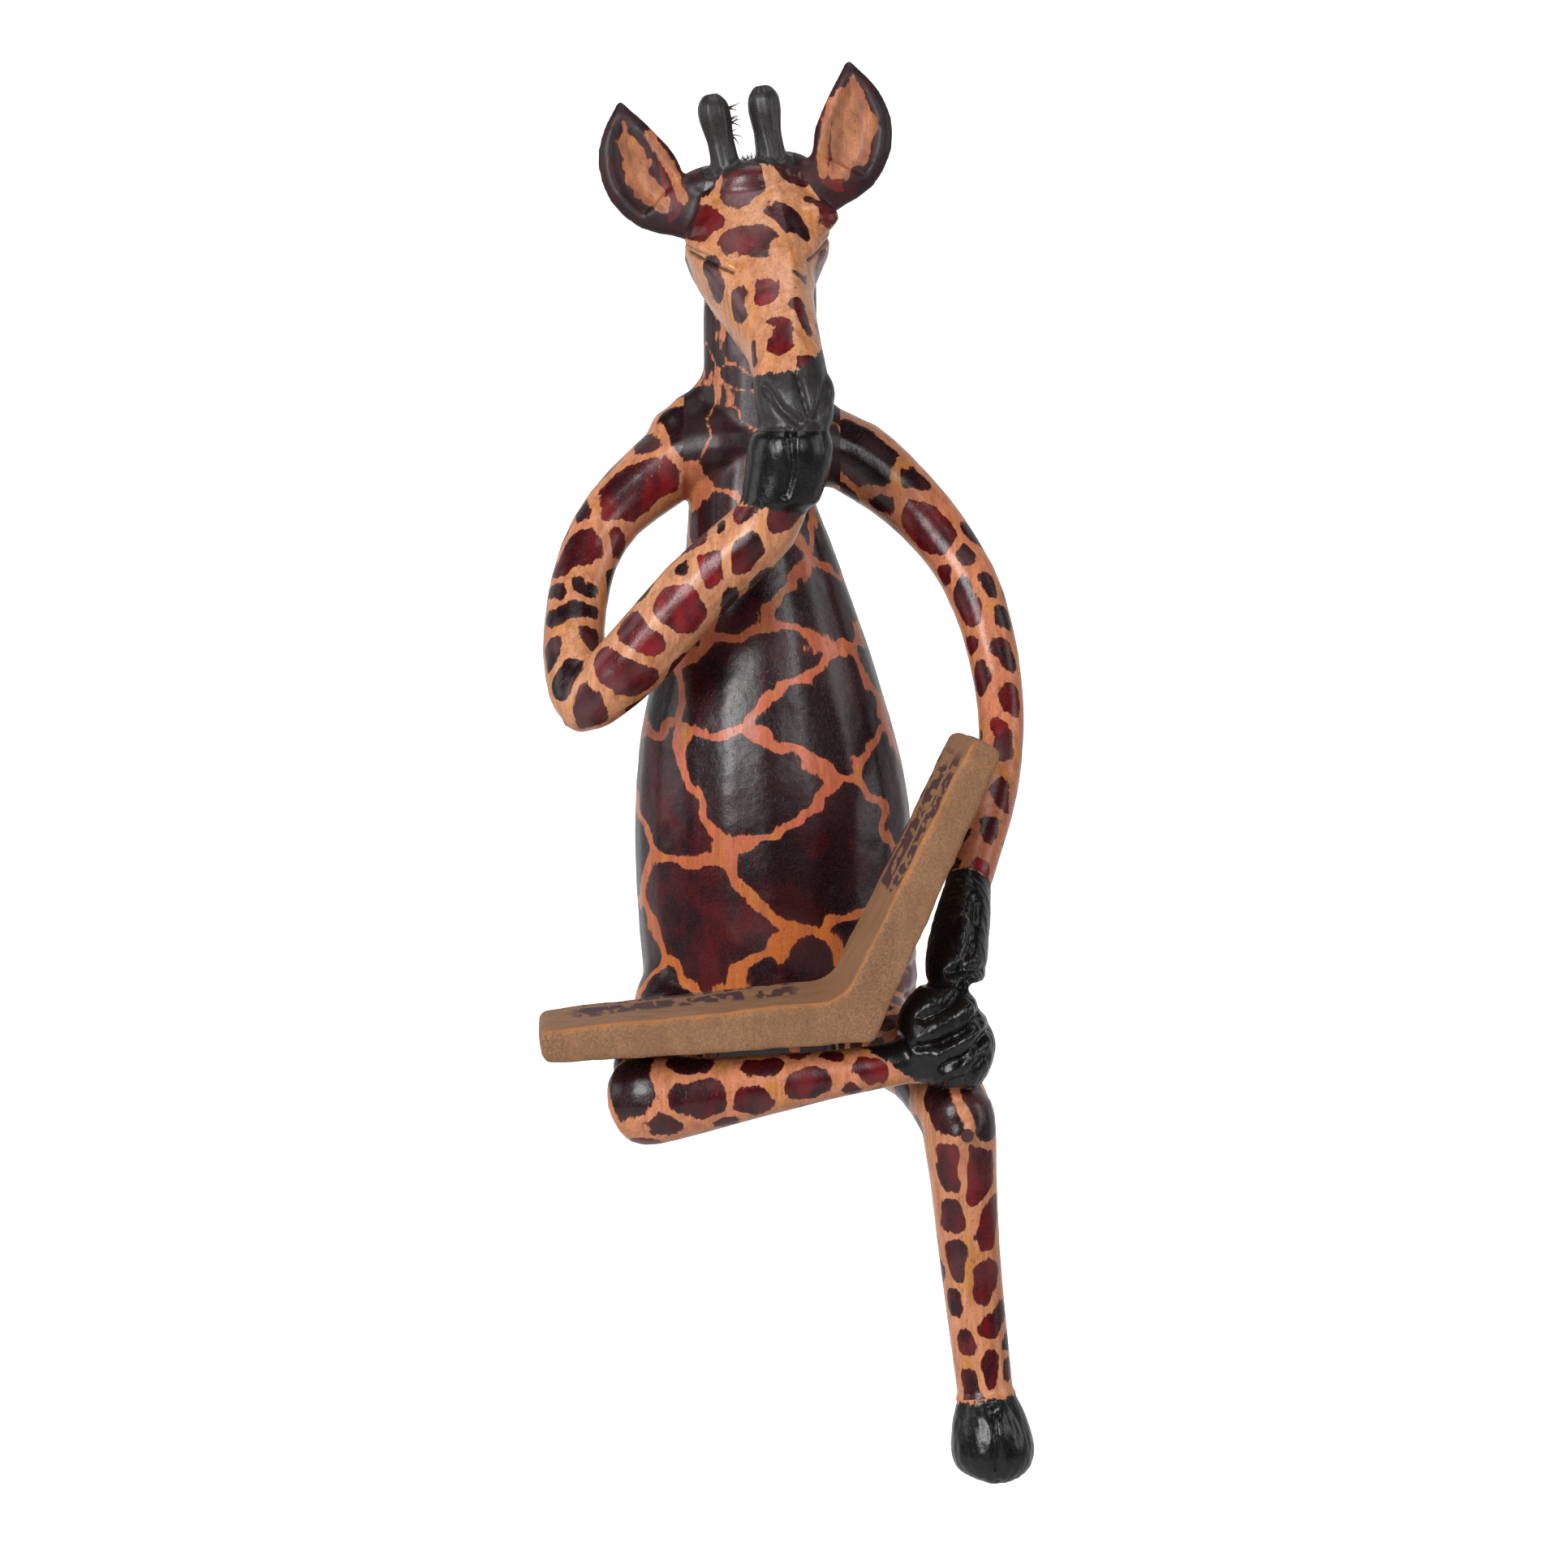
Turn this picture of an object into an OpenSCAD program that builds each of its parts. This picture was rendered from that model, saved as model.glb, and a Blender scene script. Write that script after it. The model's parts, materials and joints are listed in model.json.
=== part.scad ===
// Carved wooden giraffe, sitting on a shelf edge with an open book in its lap.
// Millimetres. Origin: centre of the flat seat face. +Z up, the figure faces -Y.

/* [Figure] */
// seat face to the tip of the higher ear
seated_h = 254; // [210:1:320]
// how far the hanging leg reaches below the seat face
leg_drop = 86; // [60:1:120]
// width of the belly
body_w = 72; // [56:1:90]
// belly, front to back
body_d = 60; // [48:1:76]
// poll to muzzle
head_l = 68; // [54:1:84]

/* [Limbs] */
// thickness of the bent upper arm
arm_d = 15; // [11:0.5:19]
// height of a thigh over the seat face
thigh_h = 20; // [16:0.5:25]
// roll of the head towards the bent arm, degrees
head_roll = 10; // [0:1:16]

/* [Book] */
// width of a page, spine to outer edge
page_w = 77; // [60:1:92]
// depth of the book, along the spine
page_d = 46; // [34:1:58]
// thickness of a page block at its outer edge
page_t = 7.5; // [5:0.5:10]
// angle of the raised page from the flat
page_rise = 66; // [50:1:76]

/* [Joinery] */
// dowels through shoulders and hips
dowel_d = 5; // [3:0.5:7]
// pins at wrists, hooves, horns and ears
pin_d = 3; // [2:0.5:4]
// skewer peg that holds the book
peg_d = 2.2; // [1.5:0.1:3.5]
// play between a dowel and its bore, on the radius
fit = 0.1; // [0.05:0.05:0.3]

/* [Hidden] */

kx = body_w / 72;
ky = body_d / 60;
k = seated_h / 254;
kh = head_l / 68;
kl = thigh_h / 20;
ka = arm_d / 15;
kd = leg_drop / 86;
SIDES = 20;
BIG = 400;

// the joint planes shared by neighbouring pieces
head_at = [-2.5 * kx, 0, seated_h - 64 * kh];
nape_tilt = 40;
nape_up = 5 * kh;
sh_right = -25 * kx;
sh_left = 14 * kx;
hip_y = -28 * ky;
chin_z = head_at[2] - 29 * kh;
wrist_z = chin_z - 18 * ka;
lap_z = 8 * kl;
knee_z = 32 * kl;
shoulder_z = 154 * k;
hoof_back = -81 * ky + 10.5 * kl;

// ---- rings and sweeps -------------------------------------------------
function unit(v) = v / norm(v);
function mixed(p, q, t) = p * (1 - t) + q * t;
function curve(a, b, c, d, t) =
    0.5 * (2 * b + (c - a) * t + (2 * a - 5 * b + 4 * c - d) * t * t
    + (3 * b - a - 3 * c + d) * t * t * t);
function pick(s, i) =
    i < 0 ? 2 * s[0] - s[1]
    : i > len(s) - 1 ? 2 * s[len(s) - 1] - s[len(s) - 2] : s[i];
function fine(s, m) = concat(
    [for (i = [0:len(s) - 2]) for (j = [0:m - 1])
        curve(pick(s, i - 1), s[i], s[i + 1], pick(s, i + 2), j / m)],
    [s[len(s) - 1]]);
function at(s) = [s[0], s[1], s[2]];
function heading(s, i) = unit(at(s[min(i + 1, len(s) - 1)]) - at(s[max(i - 1, 0)]));
function bulge(v, e) = sign(v) * pow(abs(v), e);
function ring(s, t, ref, e) =
    let (u = unit(cross(ref, t)), w = cross(t, u))
    [for (j = [0:SIDES - 1]) at(s) + s[3] * bulge(cos(360 * j / SIDES), e) * u
        + s[4] * bulge(sin(360 * j / SIDES), e) * w];

// a limb: elliptical rings [x, y, z, half width, half height] along a curve
module limb(stations, ref, m = 2, first = undef, last = undef, square = 1) {
    s = fine(stations, m);
    n = len(s);
    rings = [for (i = [0:n - 1])
        ring(s[i], i == 0 && first != undef ? unit(first)
            : i == n - 1 && last != undef ? unit(last) : heading(s, i), ref, square)];
    pts = concat([for (r = rings) for (p = r) p], [at(s[0]), at(s[n - 1])]);
    q = SIDES;
    sides = [for (i = [0:n - 2]) for (j = [0:q - 1])
        let (a = i * q + j, b = i * q + (j + 1) % q)
        for (f = [[a, a + q, b + q], [a, b + q, b]]) f];
    caps = [for (j = [0:q - 1]) for (f = [[n * q, j, (j + 1) % q],
        [n * q + 1, (n - 1) * q + (j + 1) % q, (n - 1) * q + j]]) f];
    polyhedron(points = pts, faces = concat(sides, caps), convexity = 8);
}

// a true cylinder between two points
module rod(p, q, d) {
    v = q - p;
    translate(p)
    rotate([0, acos(v[2] / norm(v)), atan2(v[1], v[0])])
    cylinder(h = norm(v), d = d, $fn = 32);
}

// ---- stations ---------------------------------------------------------
function body(l) = [for (s = l)
    [s[0] * kx, s[1] * ky, s[2] * k, s[3] * kx, s[4] * ky]];
function up_arm(l) = [for (s = l)
    [s[0] * kx, s[1] * ky, s[2] * k, s[3] * ka, s[4] * ka]];
function fore_arm(l) = [for (s = l)
    [s[0] * kx, s[1] * ky, 90 * k + (s[2] - 90) * (wrist_z - 90 * k) / 53,
     s[3] * ka, s[4] * ka]];
function rest_arm(l) = [for (s = l)
    [s[0] * kx, s[1] * ky, knee_z + (s[2] - 32) * (shoulder_z - knee_z) / 122,
     s[3] * ka, s[4] * ka]];
function leg(l) = [for (s = l)
    [s[0] * kx, s[1] * ky, s[2] < -10 ? -10 * kl + (s[2] + 10) * kd : s[2] * kl,
     s[3] * kl, s[4] * kl]];
function skull(l) = l * kh;

trunk_st = concat(
    body([[0, 0, -6, 20, 16], [0, 0, 0, 30, 26], [-0.5, 0, 8, 34, 29],
          [-1, 0, 26, 35, 30], [-2.5, 0, 44, 35, 30], [-3, 0, 64, 35, 29.5],
          [-4.5, 0, 85, 32, 27], [-5, 0, 105, 26.5, 23], [-6, 1, 125, 20, 18.5],
          [-8, 2, 142, 16, 16]]),
    [[-6 * kx, 3, 156 * k, 16 * kx, 15 * ky],
     [-6 * kx, 4, 0.5 * (156 * k + head_at[2] - 4), 14.5 * kx, 14 * ky],
     [-6 * kx, 5, head_at[2] - 4, 14.2 * kx, 13.5 * ky],
     [-6 * kx, 6, head_at[2] + 12, 14 * kx, 13 * ky],
     [-6 * kx, 7, head_at[2] + 26, 13 * kx, 12.5 * ky]]);
yoke_st = [[sh_right, ky, shoulder_z + 0.5, 10 * ka, 12 * ka],
    [-17 * kx, 2.5 * ky, shoulder_z + 2, 11.5 * ka, 15 * ka],
    [5 * kx, 3 * ky, shoulder_z + 3, 11.5 * ka, 14 * ka],
    [sh_left, 2 * ky, shoulder_z + 1.5, 10 * ka, 11.5 * ka]];
upper_st = concat([yoke_st[0]],
    up_arm([[-33, -2, 148, 9.2, 10], [-42.5, -6, 139.5, 8, 8],
            [-48.6, -11, 129, 7.6, 7.6], [-51.3, -18, 117, 7.5, 7.5],
            [-51.6, -26, 106, 7.7, 7.7], [-50.2, -33, 97.5, 7.4, 7.4],
            [-48.8, -36.5, 92.5, 5.5, 5.5], [-48.4, -38, 90, 2, 2]]));
fore_st = fore_arm([[-51.5, -36, 88.5, 2.5, 2.5], [-49.5, -36.5, 92, 6, 6],
    [-45, -37, 97, 7.8, 7.8], [-36, -39, 106, 8.8, 8.8],
    [-22, -41, 122, 8.8, 8.8], [-12, -42, 131, 8.8, 8.8],
    [-5, -43, 138, 8.6, 8.6], [-2, -44, 147, 9, 8.6]]);
chin_st = [[-3 * kx, -43.5 * ky, wrist_z - 4 * ka, 8.6 * ka, 8.4 * ka],
    [-1.5 * kx, -44 * ky, wrist_z, 9.2 * ka, 8.8 * ka],
    [0.5 * kx, -44 * ky, wrist_z + 8 * ka, 10.2 * ka, 9.5 * ka],
    [1.8 * kx, -45 * ky, wrist_z + 15 * ka, 10.4 * ka, 9.4 * ka],
    [2 * kx, -45 * ky, wrist_z + 22 * ka, 7 * ka, 6 * ka]];
rest_st = concat([yoke_st[3]],
    rest_arm([[22, 1, 150.5, 9.2, 9.8], [31, -1, 143, 8.2, 8.2],
              [39, -4, 134, 7.4, 7.4], [46, -8, 123.5, 7, 7],
              [50.5, -13, 111, 6.5, 6.5], [53, -19, 98, 6, 6],
              [53.5, -26, 86, 5.6, 5.6], [52, -35, 74, 5.4, 5.4],
              [48.5, -45, 63, 5.3, 5.3], [44.5, -54, 53, 5.5, 5.5]]));
palm_st = rest_arm([[44.5, -54, 53, 5.5, 5.5], [43, -61, 46.5, 6.6, 6.8],
    [41.5, -68, 40, 7.2, 7.8], [40.5, -74, 34, 7.2, 8], [40, -78, 29, 5.5, 6]]);
palm_way = at(palm_st[1]) - at(rest_st[len(rest_st) - 2]);
thigh_r_st = leg([[-27, -28, 10.5, 11.5, 10], [-28.5, -42, 9.2, 10.8, 8.8],
    [-29.5, -56, 8.3, 10.5, 8.2], [-30, -70, 8, 10.5, 8.2],
    [-30.5, -80, 7, 10, 9.4], [-30.5, -88, 6.2, 8.5, 10],
    [-30.5, -94, 6, 5.5, 7], [-30.5, -96, 6, 2, 3]]);
shin_r_st = leg([[-40, -85, 5, 2.5, 3], [-38, -86, 5.5, 7, 8.5],
    [-33, -87, 5.8, 9, 10.8], [-26, -88, 6.3, 8.8, 10],
    [-12, -88, 8.2, 7.6, 8], [6, -87, 11, 6.2, 6.2], [20, -85.5, 13, 5.3, 5.3],
    [29, -84, 14.5, 5.5, 5.5]]);
shin_r_way = [1, 0.12, 0.16];
sole_r_st = leg([[29, -84, 14.5, 5.5, 5.5], [31.5, -83.5, 16, 8.6, 9.5],
    [35, -82, 18, 9.8, 13], [39.5, -81, 20, 10, 14.5], [44, -80.5, 21.5, 8.4, 12],
    [47, -80, 22.5, 5, 7.5], [48, -80, 23, 1.5, 2.5]]);
thigh_l_st = leg([[23, -28, 10.5, 11.5, 10], [27, -42, 10, 10.5, 9.4],
    [33, -56, 8.5, 9.8, 9], [38, -67, 4, 9.2, 9.4], [41, -75, -1, 8.8, 9.4],
    [42, -80, -4, 7.5, 7.5], [42.5, -84, -6, 3, 3.5]]);
shin_l_st = leg([[41, -75, 7, 4, 5], [41.2, -75.5, 3, 8, 8.6],
    [41.6, -75.5, -4, 8.8, 9.2], [42.5, -75, -14, 8.1, 8.3],
    [44, -75, -32, 7.4, 7.4], [46, -76, -50, 7, 7], [48, -78, -67, 6.7, 6.7]]);
shin_l_way = [0.12, -0.12, -1];
sole_l_st = leg([[48, -78, -67, 6.7, 6.7], [48.5, -78.5, -71, 8.4, 9],
    [49.3, -79.5, -77, 9.8, 10.5], [50, -80.5, -82, 9.6, 10.5],
    [50.2, -81, -85, 7.5, 8.5], [50.2, -81, -86, 4.5, 5.5]]);
head_st = skull([[0, 13.5, 29, 3, 5], [0, 11, 27, 10.5, 13.5],
    [-0.5, 4, 22.5, 15.5, 17.5], [-2, -5, 15.5, 15, 18], [-2.5, -15, 6, 12.5, 13.5],
    [-1, -24, -3, 10.5, 10.6], [0, -32, -11, 9.5, 9.2], [0, -39, -18.5, 9, 9.2],
    [0, -43, -24, 8.2, 9.4], [0, -46, -28.5, 6, 8], [0, -47.5, -31.5, 3, 5]]);
mane_st = [[-8.8 * kx, 3.5 * kh, head_at[2] + 36 * kh, 0.9, 2.4],
    [-8.2 * kx, 10 * kh, head_at[2] + 33.5 * kh, 1.6, 3.6],
    [-7.5 * kx, 16.5 * kh, head_at[2] + 27 * kh, 1.8, 4.2],
    [-7 * kx, 19 * kh, head_at[2] + 18 * kh, 1.8, 4.4],
    [-6 * kx, 5 + 13.5 * ky, head_at[2] - 4, 1.8, 4.4],
    [-6 * kx, 4 + 14 * ky, 0.5 * (156 * k + head_at[2] - 4), 1.8, 4.2],
    [-6 * kx, 3 + 15 * ky, 156 * k, 1.6, 3.5],
    [-6.5 * kx, 17.5 * ky, 144 * k, 0.9, 2]];
ear_st = [[14.5, -2, 27.5, 8, 4.5], [18.5, -2, 29, 7.5, 4],
    [23, -1.5, 32, 9, 3.6], [26.5, -1, 37.5, 10, 3.4],
    [28.3, -0.5, 44, 9, 3], [28.8, 0, 50.5, 5.8, 2.4],
    [28.8, 0.5, 55, 2.4, 1.5], [28.8, 1, 57.5, 0.6, 0.6]] * kh;
ear_way = [0.9, 0, 0.44];
horn_st = [[5.7, -4, 36, 3.9, 3.9], [5.9, -4, 43, 3.4, 3.4],
    [6.2, -4, 48.5, 4.1, 4.1], [6.4, -4, 52.5, 3.8, 3.8],
    [6.5, -4, 55, 1.8, 1.8]] * kh;
book_yaw = 4;
book_nod = 2.5;
page_dip = 3;
// the book leans on the top of the crossed thigh, 50.5 along and 44 behind its spine corner
thigh_top = 16.438 * kl;
spine_at = [21 * kx, -98 * ky,
    thigh_top + sin(page_dip) * 50.5 * kx + sin(book_nod) * 44 * ky];
knee_pin = [40.5 * kx, -76.5 * ky];
cross_pin = [39.5 * kx, -77 * ky];
peg_at = [-17 * kx, -86 * ky];

// ---- placing ----------------------------------------------------------
module on_head() {
    translate(head_at)
    rotate([0, 0, 1.5])
    rotate([0, -head_roll, 0])
    children();
}

// everything on the head's side of the nape joint
module above_nape(reach) {
    on_head()
    rotate([nape_tilt, 0, 0])
    translate([-BIG / 2, -reach, nape_up])
    cube([BIG, BIG, BIG]);
}

// everything on the neck's side, only where the neck stands
module below_nape() {
    on_head()
    rotate([nape_tilt, 0, 0])
    translate([-BIG / 2, -22 * kh, nape_up - 60])
    cube([BIG, 80, 60]);
}

module shoulder_rods(play) {
    for (e = [[sh_right, 1, shoulder_z - 1], [sh_left, 1, shoulder_z]])
        rod([e[0] - 10, e[1], e[2]], [e[0] + 10, e[1], e[2]], dowel_d + 2 * play);
}

module hip_rods(play) {
    for (x = [-27, 23])
        rod([x * kx, hip_y - 12, 10.5 * kl], [x * kx, hip_y + 12, 10.5 * kl],
            dowel_d + 2 * play);
}

module neck_rod(play) {
    on_head()
    rotate([nape_tilt, 0, 0])
    translate([-2 * kx, 9, nape_up - 14])
    cylinder(h = 26, d = dowel_d + 2 * play, $fn = 32);
}

module peg_rod(play) {
    rod([peg_at[0], peg_at[1], 6 * kl], [peg_at[0], peg_at[1], 21 * kl + 4],
        peg_d + 2 * play);
}

module knee_rod(play) {
    rod([knee_pin[0], knee_pin[1], knee_z - 6], [knee_pin[0], knee_pin[1], knee_z + 5],
        pin_d + 2 * play);
}

module cross_rod(play) {
    rod([cross_pin[0], cross_pin[1], lap_z - 7], [cross_pin[0], cross_pin[1], lap_z + 7],
        pin_d + 2 * play);
}

module chin_rod(play) {
    rod([2 * kx, -44 * ky, chin_z - 6], [2 * kx, -44 * ky, chin_z + 5],
        pin_d + 2 * play);
}

module wrist_rod(play) {
    rod([-2.5 * kx, -43.5 * ky, wrist_z - 6], [-2.5 * kx, -43.5 * ky, wrist_z + 6],
        pin_d + 2 * play);
}

module along_rod(p, way, play) {
    rod(p - 5 * unit(way), p + 5 * unit(way), pin_d + 2 * play);
}

module palm_rod(play) {
    along_rod(at(palm_st[0]), palm_way, play);
}

module ankle_r_rod(play) {
    along_rod(at(sole_r_st[0]), shin_r_way, play);
}

module ankle_l_rod(play) {
    along_rod(at(sole_l_st[0]), shin_l_way, play);
}

module ear_pin(side, play) {
    on_head()
    mirror([side > 0 ? 0 : 1, 0, 0])
    along_rod(at(ear_st[0]), ear_way, play);
}

module horn_pin(side, play) {
    on_head()
    mirror([side > 0 ? 0 : 1, 0, 0])
    translate([5.7, -4, 31] * kh)
    cylinder(h = 9 * kh, d = pin_d + 2 * play, $fn = 32);
}

module plug_rod(play) {
    rod([43 * kx, -76 * ky, -3 * kl], [43 * kx, -86.5 * ky, -3 * kl],
        pin_d + 2 * play);
}

// the flat the ear is glued to
module ear_seat(side) {
    on_head()
    mirror([side > 0 ? 0 : 1, 0, 0])
    translate(at(ear_st[0]))
    rotate([0, -atan2(ear_way[2], ear_way[0]), 0])
    translate([0, -14, -14])
    cube([20, 28, 28]);
}

// the flat a horn stands on
module horn_seats() {
    on_head()
    translate([-20, -24, 36] * kh)
    cube([40, 40, 30] * kh);
}

// groove of a cloven hoof
module cleft(p, w, h, d, turn) {
    translate(p)
    rotate(turn)
    translate([-w / 2, -d, -h / 2])
    cube([w, 2 * d, h]);
}

// ---- pieces -----------------------------------------------------------
module torso() {
    color("#8a4a26")
    difference() {
        union() {
            limb(trunk_st, [0, 1, 0]);
            limb(yoke_st, [0, 1, 0], 2, [1, 0, 0], [1, 0, 0]);
            limb([[-25 * kx, 0, 12 * kl, 12 * kl, 11 * kl],
                  [-26 * kx, -16 * ky, 11 * kl, 12 * kl, 10.5 * kl],
                  thigh_r_st[0]], [0, 0, 1], 2, [0, -1, 0], [0, -1, 0]);
            limb([[22 * kx, 0, 12 * kl, 12 * kl, 11 * kl],
                  [22.5 * kx, -16 * ky, 11 * kl, 12 * kl, 10.5 * kl],
                  thigh_l_st[0]], [0, 0, 1], 2, [0, -1, 0], [0, -1, 0]);
        }
        translate([-BIG / 2, -BIG / 2, -BIG])
        cube([BIG, BIG, BIG]);
        above_nape(BIG / 2);
        limb(mane_st, [1, 0, 0]);
        shoulder_rods(fit);
        hip_rods(fit);
        neck_rod(fit);
    }
}

module head() {
    color("#9c5a30")
    difference() {
        on_head()
        limb(head_st, [1, 0, 0], 2, undef, undef, 0.85);
        below_nape();
        translate([-BIG / 2, -BIG / 2, chin_z - BIG])
        cube([BIG, BIG, BIG]);
        ear_seat(1);
        ear_seat(-1);
        horn_seats();
        limb(mane_st, [1, 0, 0]);
        neck_rod(fit);
        chin_rod(fit);
        ear_pin(1, fit);
        ear_pin(-1, fit);
        horn_pin(1, fit);
        horn_pin(-1, fit);
    }
}

module ear(side) {
    difference() {
        on_head()
        mirror([side > 0 ? 0 : 1, 0, 0])
        limb(ear_st, [0, 1, 0], 2, ear_way);
        on_head()
        mirror([side > 0 ? 0 : 1, 0, 0])
        translate([0, -3.4 * kh, 0])
        limb([for (i = [2:6]) [ear_st[i][0], ear_st[i][1], ear_st[i][2],
            0.72 * ear_st[i][3], 0.9 * ear_st[i][4]]], [0, 1, 0]);
        ear_pin(side, fit);
    }
}

module ear_left() {
    color("#7a3d22")
    ear(1);
}

module ear_right() {
    color("#7a3d22")
    ear(-1);
}

module horn(side) {
    difference() {
        on_head()
        mirror([side > 0 ? 0 : 1, 0, 0])
        limb(horn_st, [0, 1, 0], 2, [0, 0, 1]);
        horn_pin(side, fit);
    }
}

module horn_left() {
    color("#1a1512")
    horn(1);
}

module horn_right() {
    color("#1a1512")
    horn(-1);
}

module mane() {
    color("#2a1a12")
    limb(mane_st, [1, 0, 0]);
}

module bent_arm() {
    color("#9a5228")
    difference() {
        union() {
            limb(upper_st, [0, 1, 0], 2, [-1, 0, 0]);
            limb(fore_st, [0, 1, 0]);
        }
        translate([sh_right, -20 * ky, 0])
        cube([BIG, BIG, BIG]);
        translate([-BIG / 2, -28 * ky - BIG, wrist_z])
        cube([BIG, BIG, BIG]);
        wrist_rod(fit);
        shoulder_rods(fit);
    }
}

module chin_hoof() {
    color("#15110f")
    difference() {
        limb(chin_st, [0, 1, 0]);
        translate([-BIG / 2, -BIG / 2, chin_z])
        cube([BIG, BIG, BIG]);
        translate([-BIG / 2, -BIG / 2, wrist_z - BIG])
        cube([BIG, BIG, BIG]);
        cleft([1 * kx, -54 * ky, wrist_z + 11 * ka], 1.2, 16 * ka, 3, [0, 6, 0]);
        chin_rod(fit);
        wrist_rod(fit);
    }
}

module resting_arm() {
    color("#9a5228")
    difference() {
        limb(rest_st, [0, 1, 0], 2, [1, 0, 0], palm_way);
        translate([sh_left - 60, -BIG / 2, 0])
        cube([60, BIG, BIG]);
        shoulder_rods(fit);
        palm_rod(fit);
    }
}

module knee_hoof() {
    color("#15110f")
    difference() {
        limb(palm_st, [0, 1, 0], 2, palm_way);
        translate([-BIG / 2, -BIG / 2, knee_z - BIG])
        cube([BIG, BIG, BIG]);
        cleft([42 * kx, -78 * ky, knee_z + 8 * kl], 1.2, 20 * kl, 4, [-42, 0, 0]);
        palm_rod(fit);
        knee_rod(fit);
    }
}

module crossed_leg() {
    color("#8f4c26")
    difference() {
        union() {
            limb(thigh_r_st, [0, 0, 1], 2, [0, -1, 0]);
            limb(shin_r_st, [0, 0, 1], 2, [1, 0, 0], shin_r_way);
        }
        limb(trunk_st, [0, 1, 0]);
        hip_rods(fit);
        peg_rod(fit);
        ankle_r_rod(fit);
    }
}

module crossed_hoof() {
    color("#15110f")
    difference() {
        limb(sole_r_st, [0, 0, 1], 2, shin_r_way);
        translate([-BIG / 2, -BIG / 2, knee_z])
        cube([BIG, BIG, BIG]);
        translate([-BIG / 2, -BIG / 2, lap_z - BIG])
        cube([BIG, BIG, BIG]);
        cleft([42 * kx, -91.5 * ky, 20 * kl], 1.2, 22 * kl, 3.5, [0, 32, 0]);
        ankle_r_rod(fit);
        knee_rod(fit);
        cross_rod(fit);
    }
}

module hanging_leg() {
    color("#8f4c26")
    difference() {
        union() {
            limb(thigh_l_st, [0, 0, 1], 2, [0, -1, 0]);
            limb(shin_l_st, [0, 1, 0], 2, [0, 0, -1], shin_l_way);
        }
        limb(trunk_st, [0, 1, 0]);
        translate([-BIG / 2, hoof_back - BIG, lap_z])
        cube([BIG, BIG, BIG]);
        hip_rods(fit);
        cross_rod(fit);
        ankle_l_rod(fit);
        plug_rod(fit);
    }
}

module hanging_hoof() {
    color("#15110f")
    difference() {
        limb(sole_l_st, [0, 1, 0], 2, shin_l_way);
        cleft([50 * kx, -91 * ky, -10 * kl - 69 * kd], 1.4, 16 * kl, 4, [0, -6, 0]);
        ankle_l_rod(fit);
    }
}

module book_outline() {
    half = (180 + page_dip - page_rise) / 2;
    mid = page_rise + half;
    left = [-cos(page_dip), -sin(page_dip)] * page_w;
    right = [cos(page_rise), sin(page_rise)] * page_w * 0.96;
    spine_t = page_t * 1.4;
    offset(r = -9, $fn = 40)
    offset(delta = 9)
    offset(r = 2.4, $fn = 24)
    offset(delta = -2.4)
    polygon([[0, 0], right, right + page_t * [-sin(page_rise), cos(page_rise)],
        spine_t / sin(half) * [cos(mid), sin(mid)],
        left + page_t * [-sin(page_dip), cos(page_dip)], left]);
}

module book() {
    color("#b98d58")
    difference() {
        translate(spine_at)
        rotate([-book_nod, 0, book_yaw])
        rotate([90, 0, 0])
        translate([0, 0, -page_d])
        linear_extrude(page_d)
        book_outline();
        peg_rod(fit);
    }
}

module book_peg() {
    color("#c9a26c")
    peg_rod(0);
}

module neck_dowel() {
    color("#c9a26c")
    neck_rod(0);
}

module shoulder_dowels() {
    color("#c9a26c")
    shoulder_rods(0);
}

module hip_dowels() {
    color("#c9a26c")
    hip_rods(0);
}

module hoof_pins() {
    color("#c9a26c") {
        chin_rod(0);
        wrist_rod(0);
        palm_rod(0);
        knee_rod(0);
        cross_rod(0);
        ankle_r_rod(0);
        ankle_l_rod(0);
        for (e = [1, -1]) {
            ear_pin(e, 0);
            horn_pin(e, 0);
        }
    }
}

module knee_plug() {
    color("#3a2015")
    plug_rod(0);
}

torso();
head();
ear_left();
ear_right();
horn_left();
horn_right();
mane();
bent_arm();
resting_arm();
chin_hoof();
knee_hoof();
crossed_leg();
crossed_hoof();
hanging_leg();
hanging_hoof();
book();
book_peg();
neck_dowel();
shoulder_dowels();
hip_dowels();
hoof_pins();
knee_plug();
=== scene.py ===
"""Carved wooden giraffe with an open book: the finished look of each piece."""
import json
import math

import bpy
import numpy as np
from mathutils import Matrix, Vector
from mathutils.bvhtree import BVHTree

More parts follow.
